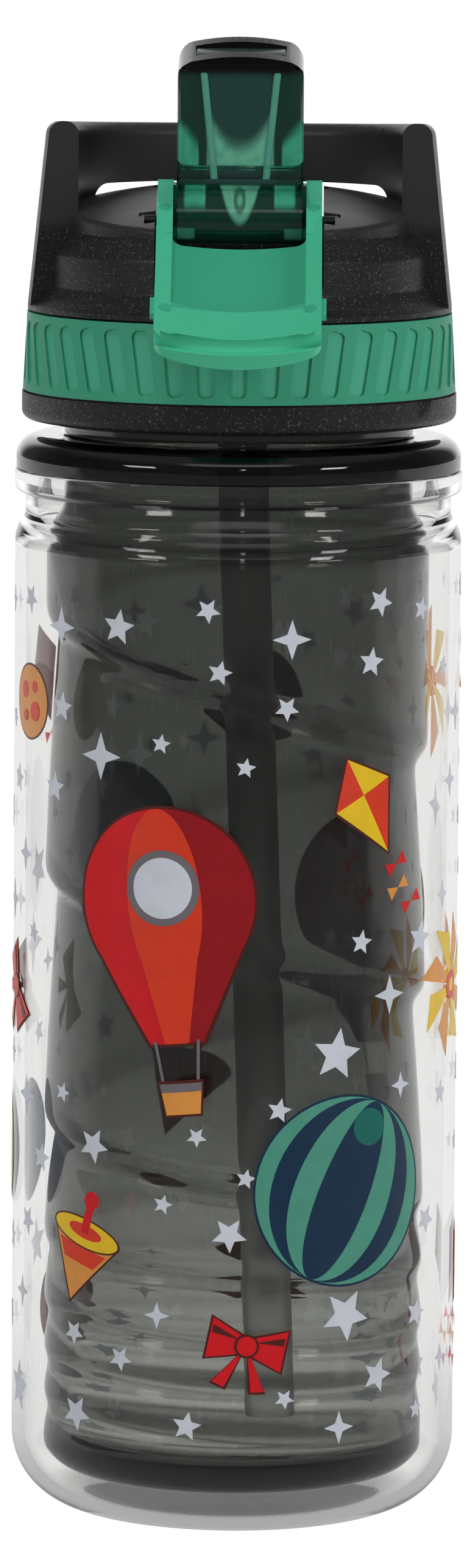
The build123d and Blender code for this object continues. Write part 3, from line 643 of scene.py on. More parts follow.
inner_profile = (
    (0, inner_z),
    (inner_r, inner_z, 5.0),
    (inner_r, side_top_z, 2.0),
    (neck_r, neck_root_z, 1.5),
    (neck_r, rim_z, 0.5),
    (flange_r, rim_z, 0.4),
    (flange_r, flange_top_z, 3.6),
    (neck_r, flange_top_z, 0.4),
    (neck_r, neck_top_z, 0.4),
    (neck_in_r, neck_top_z, 0.4),
    (neck_in_r, neck_root_z, 1.5),
    (inner_r - inner_t, side_top_z - inner_t, 2.0),
    (inner_r - inner_t, inner_z + inner_floor_t, 3.2),
    (0, inner_z + inner_floor_t),
)
inner_mesh = turned(inner_profile, steps=180, longest=1.0)
side_verts = [v for v in inner_mesh.verts if hypot(v.co.x, v.co.y) >= (inner_r - side_margin) * MM]
for vert in side_verts:
    reach = hypot(vert.co.x, vert.co.y)
    inside = reach < (inner_r - inner_t / 2) * MM
    height = vert.co.z / MM - (inner_t if inside else 0)
    vert.co.xy *= (reach - pressed_in(vert.co.x, vert.co.y, height) * MM) / reach
wall_verts = [v for v in inner_mesh.verts if smooth_low_z * MM < v.co.z < smooth_high_z * MM
              and hypot(v.co.x, v.co.y) > (inner_r - side_margin) * MM]
for smoothing in range(smooth_passes):
    bmesh.ops.smooth_vert(inner_mesh, verts=wall_verts, factor=0.5, use_axis_x=True, use_axis_y=True,
                          use_axis_z=False)
finish_piece("inner_bottle_smoked", inner_mesh, "bottle_body", smoked_finish, replaces=("inner_bottle",),
             sharp_deg=60)

# %% [markdown]
# ## Neck thread
# A screw thread is a small trapezoid swept along a helix. Spin does this when it also shifts the profile
# a little along the axis at each step. The lead is 4.5 mm per turn, right-handed.

# %% Neck thread
thread_lead, thread_turns, thread_steps = 4.5, 1.25, 120
thread_start_z, thread_sink, thread_crest = 184.5, 0.2, 1.2
thread_root_half, thread_crest_half = 1.0, 0.6
root_r, crest_r = neck_r - thread_sink, neck_r + thread_crest
thread_mesh = bmesh.new()
draw_profile(thread_mesh, ((root_r, -thread_root_half), (crest_r, -thread_crest_half),
                           (crest_r, thread_crest_half), (root_r, thread_root_half)), closed=True)
bmesh.ops.translate(thread_mesh, verts=thread_mesh.verts, vec=(0, 0, thread_start_z * MM))
bmesh.ops.spin(thread_mesh, geom=thread_mesh.verts[:] + thread_mesh.edges[:], cent=(0, 0, 0), axis=(0, 0, 1),
               dvec=(0, 0, thread_lead * thread_turns / thread_steps * MM), angle=2 * pi * thread_turns,
               steps=thread_steps)
bmesh.ops.holes_fill(thread_mesh, edges=[e for e in thread_mesh.edges if e.is_boundary], sides=4)
bmesh.ops.recalc_face_normals(thread_mesh, faces=thread_mesh.faces)
finish_piece("neck_thread", thread_mesh, "bottle_body", smoked_finish)

# %% [markdown]
# ## Inks for the print
# The print is a scatter of toys and stars in flat inks. Ink is an opaque film that is a touch uneven. Where
# the print is seen from behind, through the walls, a painted glow in its own colour stands in for the bright room
# shining through it: only rays that have passed a clear wall find it glowing.

# %% Inks
painted_ink_glow, ink_roughness, ink_wear, ink_shade = 0.85, 0.35, 0.1, 0.93


def ink(name, colour):
    material, tree, shader = new_material(name)
    patchy = ramp(tree, noise(tree, 260.0, detail=3.0), 0.35, 0.65)
    darker = tuple(ink_shade * c for c in colour)
    wire(tree, colour_mix(tree, patchy, darker, colour), shader.inputs["Base Color"])
    smudge = use_group(tree, marks).outputs["Smudge"]
    wire(tree, calc(tree, "MULTIPLY_ADD", smudge, ink_wear, ink_roughness), shader.inputs["Roughness"])
    # painted glow: the ink emits its own colour for rays that came through a clear wall
    seen = tree.nodes.new("ShaderNodeLightPath")
    shader.inputs["Emission Color"].default_value = (*colour, 1)
    wire(tree, times(tree, seen.outputs["Is Transmission Ray"], painted_ink_glow), shader.inputs["Emission Strength"])
    return material


ink_colours = {
    "star_grey": srgb(196, 200, 209),
    "red": srgb(200, 0, 15),
    "dark_red": srgb(140, 0, 13),
    "orange_red": srgb(205, 50, 18),
    "orange": srgb(212, 140, 60),
    "yellow": srgb(222, 184, 16),
    "teal": srgb(70, 140, 120),
    "deep_teal": srgb(5, 96, 87),
    "navy": srgb(4, 40, 66),
    "grey": srgb(104, 99, 103),
    "brown": srgb(74, 22, 14),
}
inks = {name: ink("ink_" + name, colour) for name, colour in ink_colours.items()}
ink_order = list(inks)
print("inks", ink_order)

# %% [markdown]
# ## Flat shapes
# Each printed shape starts flat and facing the front, as a disc, a star or a few corners. A disc squeezed
# sideways is an ellipse, and a star is a circle with every other corner pulled in.

# %% Flat shapes
def lay_flat(shape, at, turn, before=Matrix()):
    """Turns a shape by some degrees in the plane of the front and moves its middle to `at`."""
    place = Matrix.Translation((at[0], 0, at[1])) @ Matrix.Rotation(radians(turn), 4, "Y") @ before
    bmesh.ops.transform(shape, matrix=place, verts=shape.verts)
    return shape


facing_front = Matrix.Rotation(radians(90), 4, "X")


def flat_disc(radius, sides=40, wide=1.0, tall=1.0, at=(0, 0)):
    shape = bmesh.new()
    bmesh.ops.create_circle(shape, cap_ends=True, radius=radius, segments=sides)
    return lay_flat(shape, at, 0, Matrix.Diagonal((wide, 1, tall, 1)) @ facing_front)


def flat_star(radius, points, inner, turn=0.0):
    shape = bmesh.new()
    bmesh.ops.create_circle(shape, cap_ends=True, radius=radius, segments=2 * points)
    bmesh.ops.scale(shape, vec=(inner, inner, inner), verts=shape.verts[:][1::2])
    return lay_flat(shape, (0, 0), turn, facing_front)


def flat_corners(corners, turn=0.0):
    shape = bmesh.new()
    shape.faces.new([shape.verts.new((x, 0, z)) for x, z in corners])
    return lay_flat(shape, (0, 0), turn)


def slice_upright(shape, x, side=1, **keep):
    """Cuts a flat shape along an upright line."""
    bmesh.ops.bisect_plane(shape, geom=shape.verts[:] + shape.edges[:] + shape.faces[:], plane_co=(x, 0, 0),
                           plane_no=(side, 0, 0), **keep)


def half_of(shape, side):
    """Keeps the part of a shape to the right (side 1) or the left (side -1) of its middle line."""
    slice_upright(shape, 0, -side, clear_outer=True)
    return shape


print("flat shapes ready")

# %% [markdown]
# ## Rolling shapes round the wall
# A flat shape is sliced into narrow upright strips, so that it can bend, and its width is then laid along
# the wall as an angle. Inks that overlap lie in thin layers, and each shape gets a hair's thickness,
# because real ink has one.

# %% Roll shapes round the wall
strip_w, ink_t, layer_rise, ink_lift = 2.0, 0.05, 0.03, 0.01


def roll_onto(sheet, shapes, azimuth_deg, height, turn=0.0, scale=1.0):
    """shapes is a list of (flat shape, ink name); later ones lie over earlier ones."""
    for layer, (shape, ink_name) in enumerate(shapes):
        place = Matrix.Rotation(radians(turn), 4, "Y") @ Matrix.Scale(scale, 4)
        bmesh.ops.transform(shape, matrix=place, verts=shape.verts)
        strips = int(max(abs(v.co.x) for v in shape.verts) / strip_w)
        for strip in range(-strips, strips + 1):
            slice_upright(shape, strip * strip_w)
        for face in shape.faces:
            face.material_index = ink_order.index(ink_name)
        bmesh.ops.solidify(shape, geom=shape.faces[:], thickness=ink_t)
        middle = sum(v.co.y for v in shape.verts) / len(shape.verts)
        level = wall_r + ink_lift + layer * layer_rise
        for vert in shape.verts:
            angle = radians(azimuth_deg) + vert.co.x / wall_r
            radius = level + (ink_t if vert.co.y < middle else 0)
            vert.co = Vector((radius * sin(angle), -radius * cos(angle), height + vert.co.z)) * MM
        bmesh.ops.recalc_face_normals(shape, faces=shape.faces)
        add_shape(sheet, shape)


def finish_print(name, sheet):
    finish_piece(name, sheet, "bottle_body", list(inks.values()), sharp_deg=20)


print("print lies", ink_lift, "mm off the wall in strips of", strip_w, "mm")

# %% [markdown]
# ## Toys for the print
# A hot-air balloon, a beach ball, a kite, a pinwheel, a spinning top, a bow and little balls: each is a
# stack of discs, ellipses and corners. An outline is the same shape, a little larger, in a darker ink.

# %% Balloon and beach ball
def balloon():
    bag = []
    for grow, colour in ((0.5, "brown"), (0.0, "red")):
        bag.append((flat_disc(15 + grow, 56, at=(0, 6)), colour))
        bag.append((flat_corners(((-13.6 - grow, 0), (13.6 + grow, 0), (4.4 + grow, -17.5 - grow),
                                  (-4.4 - grow, -17.5 - grow))), colour))
    bag.append((half_of(flat_disc(15, 56, at=(0, 6)), 1), "dark_red"))
    bag.append((flat_corners(((0, 0), (13.6, 0), (4.4, -17.5), (0, -17.5))), "dark_red"))
    bag.append((flat_disc(15, 56, 0.42, 1, at=(0, 6)), "orange_red"))
    bag.append((flat_corners(((-6.1, 3), (6.1, 3), (2.0, -17.5), (-2.0, -17.5))), "orange_red"))
    bag.append((flat_disc(6.2, at=(0, 8)), "grey"))
    bag.append((flat_disc(5.0, at=(0, 8)), "star_grey"))
    for x in (-3.6, 3.6):
        bag.append((flat_corners(((x - 0.25, -17), (x + 0.25, -17), (x * 0.8 + 0.25, -24), (x * 0.8 - 0.25, -24))),
                    "grey"))
    bag.append((flat_corners(((-3.9, -23.5), (3.9, -23.5), (3.1, -29.5), (-3.1, -29.5))), "brown"))
    bag.append((flat_corners(((-3.5, -24), (3.5, -24), (2.8, -29.1), (-2.8, -29.1))), "orange"))
    bag.append((flat_corners(((-3.5, -24), (3.5, -24), (3.3, -25.4), (-3.3, -25.4))), "grey"))
    return bag


def beach_ball(radius, first="navy", second="teal", third="deep_teal"):
    ball = [(flat_disc(radius + 0.4, 52), "navy"), (flat_disc(radius, 52), second)]
    for wide, colour in ((0.82, first), (0.58, second), (0.3, first)):
        ball.append((flat_disc(radius, 52, wide, 1), colour))
    ball.append((flat_disc(radius * 0.2, 30, at=(0, radius * 0.72)), third))
    return ball


print("balloon and beach ball ready")

# %% Kite and pinwheel
def kite(first="orange_red", second="yellow"):
    paper = [(flat_corners(((0, 9), (6, 2), (0, -9), (-6, 2))), "brown"),
             (flat_corners(((0, 8.4), (5.5, 2), (0, -8.3), (-5.5, 2))), first),
             (flat_corners(((0, 8.4), (5.5, 2), (0, 2))), second),
             (flat_corners(((0, 2), (0, -8.3), (-5.5, 2))), second)]
    for x, z, tail in ((0.6, -11.0, "red"), (-0.8, -14.5, "orange"), (0.7, -18.0, "red")):
        for w in (-2.1, 2.1):
            paper.append((flat_corners(((x + w, z + 1.1), (x, z), (x + w, z - 1.1))), tail))
    return paper


def pinwheel(radius):
    wheel = []
    for blade in range(8):
        colour = "yellow" if blade % 2 else "orange"
        wheel.append((flat_corners(((0, 0), (radius * 0.36, radius * 0.62), (0, radius)), turn=45 * blade), colour))
    wheel.append((flat_disc(radius * 0.2, 30), "orange_red"))
    wheel.append((flat_disc(radius * 0.1, 24), "yellow"))
    return wheel


print("kite and pinwheel ready")

# %% Spinning top, spotted ball and bow
def spinning_top():
    return [(flat_corners(((-7.5, 3), (7.5, 3), (0, -9.5))), "brown"),
            (flat_corners(((-7, 2.7), (7, 2.7), (0, -8.7))), "orange"),
            (flat_corners(((-5.2, 0.6), (5.2, 0.6), (3.3, -2.2), (-3.3, -2.2))), "orange_red"),
            (flat_disc(7.4, tall=0.34, at=(0, 3)), "brown"), (flat_disc(7.0, tall=0.32, at=(0, 3)), "yellow"),
            (flat_disc(3.6, 36, tall=0.32, at=(0, 3.3)), "orange_red"),
            (flat_corners(((-0.8, 3), (0.8, 3), (0.8, 8.5), (-0.8, 8.5))), "red"),
            (flat_disc(1.5, 24, at=(0, 8.8)), "red")]


def spotted_ball(radius, body="orange", spots="orange_red"):
    ball = [(flat_disc(radius + 0.35), "brown"), (flat_disc(radius), body)]
    for x, z, size in ((-0.35, 0.3, 0.24), (0.3, 0.42, 0.16), (0.32, -0.25, 0.27), (-0.3, -0.4, 0.15)):
        ball.append((flat_disc(radius * size, 24, at=(radius * x, radius * z)), spots))
    return ball


def bow(colour, edge):
    knot = []
    for grow, shade in ((0.4, edge), (0.0, colour)):
        for side in (-1, 1):
            knot.append((flat_corners(((0, 0), (side * (4.6 + grow), -7.2 - grow),
                                       (side * (2.4 - grow), -7.8 - grow))), shade))
            knot.append((flat_corners(((0, 1.2 + grow), (side * (6.6 + grow), 3.8 + grow),
                                       (side * (6.6 + grow), -3.4 - grow), (0, -1.2 - grow))), shade))
    for side in (-1, 1):
        knot.append((flat_corners(((side * 1.4, 0.9), (side * 6.3, 2.6), (side * 6.3, 1.2))), edge))
    knot += [(flat_disc(2.1, 30), edge), (flat_disc(1.7, 30), colour)]
    return knot


print("top, spotted ball and bow ready")

# %% [markdown]
# ## Toys all round the bottle
# Each row names a piece and says where its toy goes: degrees round the wall from the front, height in
# millimetres, its turn and its scale. How far it reaches is kept, so that the stars can stay clear of it.

# %% Print the toys all round the bottle
printed = (
    ("print_balloon_front", balloon(), -17, 100, -6, 1.0),
    ("print_ball_front", beach_ball(15.5), 30, 58, 24, 1.0),
    ("print_kite_front", kite(), 36, 121, -28, 1.05),
    ("print_top_front", spinning_top(), -42, 47, 16, 1.0),
    ("print_bow_front", bow("red", "brown"), 4, 33, 12, 0.95),
    ("print_pinwheel_right", pinwheel(12), 74, 89, 10, 1.0),
    ("print_spots_left", spotted_ball(6), -66, 136, 0, 1.0),
    ("print_bow_left", bow("orange_red", "brown"), -76, 88, 60, 1.0),
    ("print_ball_left", beach_ball(10, "deep_teal", "yellow", "orange_red"), -98, 60, -20, 1.0),
    ("print_kite_right", kite("red", "orange"), 92, 42, 30, 1.0),
    ("print_balloon_back", balloon(), 138, 92, 8, 1.0),
    ("print_spots_back", spotted_ball(8, "teal", "navy"), 175, 132, 0, 1.0),
    ("print_ball_back", beach_ball(13), -142, 108, -30, 1.0),
    ("print_top_back", spinning_top(), -165, 66, -20, 1.1),
    ("print_pinwheel_back", pinwheel(13), 112, 137, 0, 1.0),
    ("print_bow_back", bow("red", "brown"), 172, 36, 30, 1.1),
    ("print_kite_back", kite("orange", "red"), -112, 138, 20, 1.0),
    ("print_spots_low", spotted_ball(7), -122, 30, 0, 1.0),
)
taken = []
for name, shapes, azimuth, height, turn, size in printed:
    reach = max(hypot(v.co.x, v.co.z) for shape, colour in shapes for v in shape.verts) * size
    taken.append((azimuth, height, reach))
    sheet = bmesh.new()
    roll_onto(sheet, shapes, azimuth, height, turn, size)
    finish_print(name, sheet)

# %% [markdown]
# ## Stars between the toys
# Five-pointed stars and slim four-pointed sparkles fill the gaps. Their places are drawn at random from a
# fixed seed, and a place is kept only where it clears every toy and every other star.

# %% Places for the stars
random.seed(11)
star_low, star_high, star_tries = 18, 156, 2600
toy_reach, toy_gap, star_gap, overlap_share = 5, 1.6, 5.0, 0.86
sparkle_stretch = 1.25


def is_clear(azimuth, height, reach):
    for other_azimuth, other_height, other_reach in taken:
        across = radians((azimuth - other_azimuth + 180) % 360 - 180) * wall_r
        gap = toy_gap if other_reach > toy_reach else star_gap
        if hypot(across, height - other_height) < other_reach * overlap_share + reach + gap:
            return False
    return True


stars = []
for attempt in range(star_tries):
    size = random.choice((1.7, 2.1, 2.5, 3.0, 4.4))
    azimuth, height = random.uniform(-180, 180), random.uniform(star_low, star_high)
    points = random.choice((5, 5, 4))
    reach = size * (sparkle_stretch if points == 4 else 1.0)
    if is_clear(azimuth, height, reach):
        taken.append((azimuth, height, reach))
        stars.append((azimuth, height, size, points))
print("places for stars", len(stars))

# %% Stars between the toys
sparse_azimuth, sparse_z, sparse_size, star_tilt = 95, 66, 3.0, 16
star_sheet = bmesh.new()
for azimuth, height, size, points in stars:
    if abs(azimuth) > sparse_azimuth and height < sparse_z and size < sparse_size:
        continue                          # the print is sparser low down behind
    five = points == 5
    shape = flat_star(size, 5, 0.46, turn=18) if five else flat_star(size * 1.3, 4, 0.36)
    turn = random.uniform(-star_tilt, star_tilt) if five else 0
    roll_onto(star_sheet, [(shape, "star_grey")], azimuth, height, turn)
finish_print("print_stars", star_sheet)

# %% [markdown]
# ## Lid skirt and grip band
# The skirt is a black ring with the fine sparkle of an etched mould. The green grip band above it has
# leaning slots pressed into it, so that a small hand can turn the lid.

# %% Lid skirt and grip band
finish_piece("lid_skirt_black", merged_copy("lid_skirt"), "lid_body", black_ring, replaces=("lid_skirt",))
band = finish_piece("grip_band_green", merged_copy("grip_band"), "lid_body", green_grained,
                    replaces=("grip_band",))
soft_edges(band, 0.12)

# %% [markdown]
# ## Cutting notches
# A boolean takes one closed form out of another. Blender's is a modifier on an object, so the mesh and its
# cutters become objects for a moment, the result is read back, and the helpers are removed again.

# %% Cutting notches
def cut_away(bm, boxes, round_mm=0.25):
    """Takes rounded boxes out of a bmesh and gives the rest back."""
    work = put_in_scene("work", as_mesh(bm, "whole"))
    tools = [put_in_scene("cutter", as_mesh(boxed(low, high, round_mm), "cutter")) for low, high in boxes]
    for tool in tools:
        cut = work.modifiers.new("cut", "BOOLEAN")
        cut.operation, cut.solver, cut.object = "DIFFERENCE", "EXACT", tool
    done = bpy.data.meshes.new_from_object(work.evaluated_get(bpy.context.evaluated_depsgraph_get()))
    rest = bmesh.new()
    rest.from_mesh(done)
    for item in [work] + tools:
        bpy.data.objects.remove(item)
    bpy.data.meshes.remove(done)
    bmesh.ops.remove_doubles(rest, verts=rest.verts, dist=merge_dist)
    print("cut away", len(boxes), "boxes, faces left", len(rest.faces))
    return rest


print("notch cutter ready")

# %% [markdown]
# ## Lid shell with the carry hoop
# The shell is one moulding: a flared foot, a drum, a domed deck with a channel for the folded spout, and
# two posts that carry the hoop. Its mould is etched low down and polished on the drum and the hoop. A notch
# beside each arm of the cover gives it room, and a bevel of up to half a millimetre softens sharp edges.

# %% Lid shell with the carry hoop
notch_w, notch_left_x, notch_right_x = 2.9, -15.5, 12.6
notch_y, notch_z = (-21.0, -15.1), (214.05, 219.0)
notches = [((x, notch_y[0], notch_z[0]), (x + notch_w, notch_y[1], notch_z[1]))
           for x in (notch_left_x, notch_right_x)]
shell_mesh = cut_away(merged_copy("lid_shell"), notches)
shell = finish_piece("lid_shell_black", shell_mesh, "lid_body", black_shell, replaces=("lid_shell",))
soft_edges(shell, 0.5, segments=3)
recolour("hinge_pin_left", black_smooth)
recolour("hinge_pin_right", black_smooth)

# %% [markdown]
# ## Flip cover
# The cover is a light satin moulding with two rails, an arched panel and a grooved lip for the finger. Its
# form is the solid's, with rounder edges. A search tree of its surface is kept for the marks that follow.

# %% Flip cover
cover_mesh = merged_copy("cover")
cover_skin = BVHTree.FromBMesh(cover_mesh)
cover = finish_piece("cover_green", cover_mesh, "cover_body", green_satin, replaces=("cover",))
soft_edges(cover, 0.28, segments=3)

# %% [markdown]
# ## Ejector marks
# The pins that push the cover out of its mould leave four faint discs on the rails. A ray shot at the rail
# finds the place and the direction of its surface, and a thin cone is set down there.

# %% Ejector marks
mark_r, mark_top_r, mark_t, mark_sink, ray_start = 1.05, 0.98, 0.3, 0.05, 12
cover_inside = Vector((0, cover_way.z, -cover_way.y))
mark_green = plastic("mark_green", srgb(49, 152, 118), srgb(56, 160, 125), 0.42, 1500.0, 0.000006)
mark_mesh = bmesh.new()
for side in (-1, 1):
    for x, along in ((side * 12.1, 1.2), (side * 11.6, 28.6)):
        above = hinge + cover_way * along + cover_inside * ray_start + Vector((x, 0, 0))
        spot, normal = cover_skin.ray_cast(above * MM, -cover_inside)[:2]
        disc = bmesh.new()
        bmesh.ops.create_cone(disc, cap_ends=True, segments=32, radius1=mark_r * MM, radius2=mark_top_r * MM,
                              depth=mark_t * MM)
        turn = normal.to_track_quat("Z", "Y").to_matrix().to_4x4()
        place = Matrix.Translation(spot - normal * mark_sink * MM) @ turn
        bmesh.ops.transform(disc, matrix=place, verts=disc.verts)
        add_shape(mark_mesh, disc)
        print("mark at", [round(c / MM, 1) for c in spot])
finish_piece("cover_pin_marks", mark_mesh, "cover_body", mark_green)

# %% [markdown]
# ## Spout
# The spout is thick, clear green plastic with hollows and ribs behind its front. To bend light through all
# of them would take many bounces, so the skin stays clear and cores just inside it carry painted light and shade.

# %% Spout skin
spout = finish_piece("spout_clear_green", merged_copy("spout"), "spout_body", green_clear_finish,
                     replaces=("spout",))
soft_edges(spout, 0.25)

# %% [markdown]
# ## Painted light in the spout
# The cores' finish is painted light and shade in place of the depth of the green plastic: painted light where
# the walls of the channel catch light, painted shade towards the tip. The lit places are drawn with masks, in
# metres:
# distance from the middle plane one way, height the other. A power of that distance gives the curved outlines.

# %% Painted light above the ledge
painted_light_finish, tree, painted_light_shader = new_material("green_painted_light")
painted_light_shader.inputs["Specular IOR Level"].default_value = 0.1
sideways, upward = off_middle(tree), axis_of(tree, "Z")
ledge_low_z, ledge_high_z = 0.2214, 0.2236
arch_foot_z, arch_half_w, arch_rise = 0.2262, 0.006, 0.0075
pane_x, pane_lean = 0.0065, 1.2


def bulge(source, unit, power, rise=1.0):
    """A curve that is flat at 0 and has climbed by `rise` at one unit."""
    return times(tree, calc(tree, "POWER", calc(tree, "DIVIDE", source, unit), power), rise)


def minus(first, second):
    return calc(tree, "SUBTRACT", first, second)


# painted shade: a dark arch hangs between the ribs; painted light: the panes beside them are lit low down
arch = bulge(sideways, arch_half_w, 2.2, arch_rise)
above_arch = minus(minus(upward, arch_foot_z), arch)
middle_lit = times(tree, fade_out(tree, above_arch, -0.0018, 0.0025), fade_out(tree, sideways, 0.0052, 0.0056))
pane_line = calc(tree, "MULTIPLY_ADD", minus(sideways, pane_x), pane_lean, arch_foot_z)
pane_lit = times(tree, fade_out(tree, minus(upward, pane_line), -0.0012, 0.0022),
                 ramp(tree, sideways, 0.0066, 0.007))
over_ledge = ramp(tree, upward, ledge_high_z - 0.0003, ledge_high_z + 0.0006)
upper_lit = times(tree, highest(tree, middle_lit, pane_lit), over_ledge)
print("lit masks above the ledge at", ledge_high_z / MM, "mm")

# %% Painted light below the ledge
tongue_foot_z, tongue_half_w, tongue_rise, tongue_level = 0.2145, 0.0034, 0.0065, 0.75
drop_z, drop_half_h, drop_half_w = 0.2184, 0.0018, 0.00085
# painted light: a lit tongue in the middle, with the outline of a drop in it
above_tongue = minus(minus(upward, tongue_foot_z), bulge(sideways, tongue_half_w, 2.0, tongue_rise))
from_drop = calc(tree, "ABSOLUTE", minus(upward, drop_z))
drop = calc(tree, "ADD", bulge(from_drop, drop_half_h, 2.0), bulge(sideways, drop_half_w, 2.0))
drop_line = fade_out(tree, calc(tree, "ABSOLUTE", minus(drop, 0.75)), 0.35, 0.75, 0.5)
tongue_lit = times(tree, ramp(tree, above_tongue, -0.0004, 0.0012), minus(tongue_level, drop_line))
# painted light: a lit patch at each side, lit tabs at the bottom corners, and a broken highlight along the ledge
patch_lit = times(tree, between(tree, sideways, 0.0054, 0.0059, 0.0086, 0.0093),
                  ramp(tree, upward, 0.2164, 0.2186))
under_ledge = fade_out(tree, upward, ledge_low_z - 0.001, ledge_low_z - 0.0004)
lower_lit = times(tree, highest(tree, tongue_lit, patch_lit), under_ledge)
tab_lit = times(tree, ramp(tree, sideways, 0.0071, 0.0075),
                between(tree, upward, 0.2122, 0.2126, 0.2139, 0.2143, 0.8))
from_ledge = calc(tree, "ABSOLUTE", minus(upward, ledge_high_z - 0.0002))
ledge_lit = times(tree, fade_out(tree, from_ledge, 0.0001, 0.0003, 0.6), ramp(tree, noise(tree, 500.0), 0.4, 0.6))
print("lit masks below the ledge at", ledge_low_z / MM, "mm")

# %% Colours of the painted light and shade
# the dark colours are painted shade, the lit colours painted light
dark_middle, dark_sides = (0.016, 0.042, 0.042), (0.002, 0.027, 0.02)
lit_middle, lit_sides = (0.2, 0.38, 0.3), (0.06, 0.29, 0.2)
lit = highest(tree, upper_lit, lower_lit, tab_lit, ledge_lit)
lit = times(tree, lit, ramp(tree, noise(tree, 320.0), 0.3, 0.6, 0.8, 1.15))
outside_ribs = ramp(tree, sideways, 0.0052, 0.0062)
at_sides = highest(tree, outside_ribs, fade_out(tree, upward, 0.2205, 0.2215))
unlit_green = colour_mix(tree, at_sides, dark_middle, dark_sides)
lit_green = colour_mix(tree, outside_ribs, lit_middle, lit_sides)
wire(tree, colour_mix(tree, lit, unlit_green, lit_green), painted_light_shader.inputs["Base Color"])
wire(tree, ramp(tree, noise(tree, 200.0), 0.3, 0.7, 0.25, 0.45), painted_light_shader.inputs["Roughness"])
print("depth finish has", len(tree.nodes), "nodes")

# %% [markdown]
# ## Cores of the spout
# One core fills the upright part, one the barrel and one the block between them. The barrel's core is spun
# about the hinge's axis and leaves room for the pins. Thin cheeks close the barrel's ends, and two ribs
# stand beside the middle and lean apart towards the top.

# %% Cores of the spout
def inside_spout(name, mesh, finish=painted_light_finish):
    finish_piece(name, mesh, "spout_body", finish)


barrel_half, barrel_r, pin_room_half, pin_room_r = 10.05, 4.6, 8.6, 1.15
inside_spout("spout_core", boxed((-9.9, -13.6, 221.3), (9.9, -5.2, 239.3), 1.6))
barrel_mesh = bmesh.new()
draw_profile(barrel_mesh, ((-barrel_half, pin_room_r), (-barrel_half, barrel_r), (barrel_half, barrel_r),
                           (barrel_half, pin_room_r), (pin_room_half, pin_room_r), (pin_room_half, 0.0),
                           (-pin_room_half, 0.0), (-pin_room_half, pin_room_r)), closed=True)
spin_full(barrel_mesh, steps=64, axis=(1, 0, 0))
bmesh.ops.translate(barrel_mesh, verts=barrel_mesh.verts, vec=hinge * MM)
inside_spout("spout_barrel_core", barrel_mesh)
inside_spout("spout_block_core", boxed((-barrel_half, -14.4, 216.2), (barrel_half, -11.1, 221.8), 0.6))

# %% Cheeks and ribs of the spout
cheek_in, cheek_out = 10.0, 10.82
rib_x, rib_level_z, rib_lean = 4.4, 223.5, 1.6 / 15.5
sides = {"left": -1, "right": 1}
for name, side in sides.items():
    low_x, high_x = sorted((side * cheek_in, side * cheek_out))
    inside_spout("spout_cheek_" + name, boxed((low_x, -19.2, 212.2), (high_x, -11.4, 221.0), 0.2))
rib_finish = plastic("rib_green", (0.09, 0.23, 0.19), (0.16, 0.32, 0.27), 0.15, 900.0, 0.000004)
for name, side in sides.items():
    rib = boxed((-0.6, -14.0, 216.8), (0.6, -12.9, 239.0), 0.4)
    for vert in rib.verts:
        vert.co.x += side * (rib_x * MM + (vert.co.z - rib_level_z * MM) * rib_lean)
    inside_spout("spout_rib_" + name, rib, rib_finish)

# %% [markdown]
# ## Bite tip
# The tip is a soft smoked piece over the spout's end, with large rounds. Its mouth is a paler lining, a
# rounded bar laid a little below the sloping top.

# %% Bite tip
mouth_half, mouth_round, mouth_slope_deg, mouth_place = (7.4, 2.2, 0.4), 0.38, 17.0, (0, -9.4, 241.75)
tip = finish_piece("bite_tip_smoked", merged_copy("bite_tip"), "spout_body", tip_finish, replaces=("bite_tip",))
soft_edges(tip, 0.7, segments=4)
mouth_finish = plastic("mouth_lining", srgb(40, 54, 51), srgb(58, 74, 70), 0.2, 700.0, 0.00001)
lining = boxed([-c for c in mouth_half], mouth_half, mouth_round)
bmesh.ops.transform(lining, matrix=Matrix.Rotation(radians(mouth_slope_deg), 4, "X"), verts=lining.verts)
bmesh.ops.translate(lining, verts=lining.verts, vec=Vector(mouth_place) * MM)
finish_piece("bite_tip_mouth", lining, "spout_body", mouth_finish)

# %% [markdown]
# ## Straw and the parts inside the lid
# The straw hangs from its socket into the bottle. The cap, rings, socket and valve lie inside the lid and
# the neck, so they keep the solids' meshes and only get a finish.

# %% Straw and the parts inside the lid
finish_piece("straw_clear", merged_copy("straw"), "lid_body", straw_finish, replaces=("straw",))
recolour("inner_cap", black_smooth)
for node in ("lid_gasket", "straw_socket", "spout_seal", "air_valve"):
    recolour(node, silicone)
print("recoloured solids")

# %% [markdown]
# ## Floor
# The bottle stands on a white floor. A plain white floor would come out grey between soft lamps, so it
# glows a little. How much depends on the ray: the camera and rays through the clear walls find it nearly
# white, rays mirrored by the plastics find it dim in front, and right under the bottle a shadow is painted into its
# glow.

# %% Floor
floor_half = 6
floor_mesh = bmesh.new()
bmesh.ops.create_grid(floor_mesh, x_segments=1, y_segments=1, size=floor_half)
floor_data = as_mesh(floor_mesh, "floor")
floor = put_in_scene("floor", floor_data)
print("floor", 2 * floor_half, "m wide")

# %% Floor finish
floor_glow, mirror_glow, camera_share, mirror_share = 1.16, 0.25, 0.86, 0.94


def ray_masks(tree):
    """Masks for rays from the camera, for those through a clear wall, and for those that were mirrored."""
    path = tree.nodes.new("ShaderNodeLightPath").outputs
    mirrored = calc(tree, "GREATER_THAN", path["Glossy Depth"], 0.5)
    unmirrored = calc(tree, "LESS_THAN", path["Glossy Depth"], 0.5)
    return path["Is Camera Ray"], times(tree, path["Is Transmission Ray"], unmirrored), mirrored


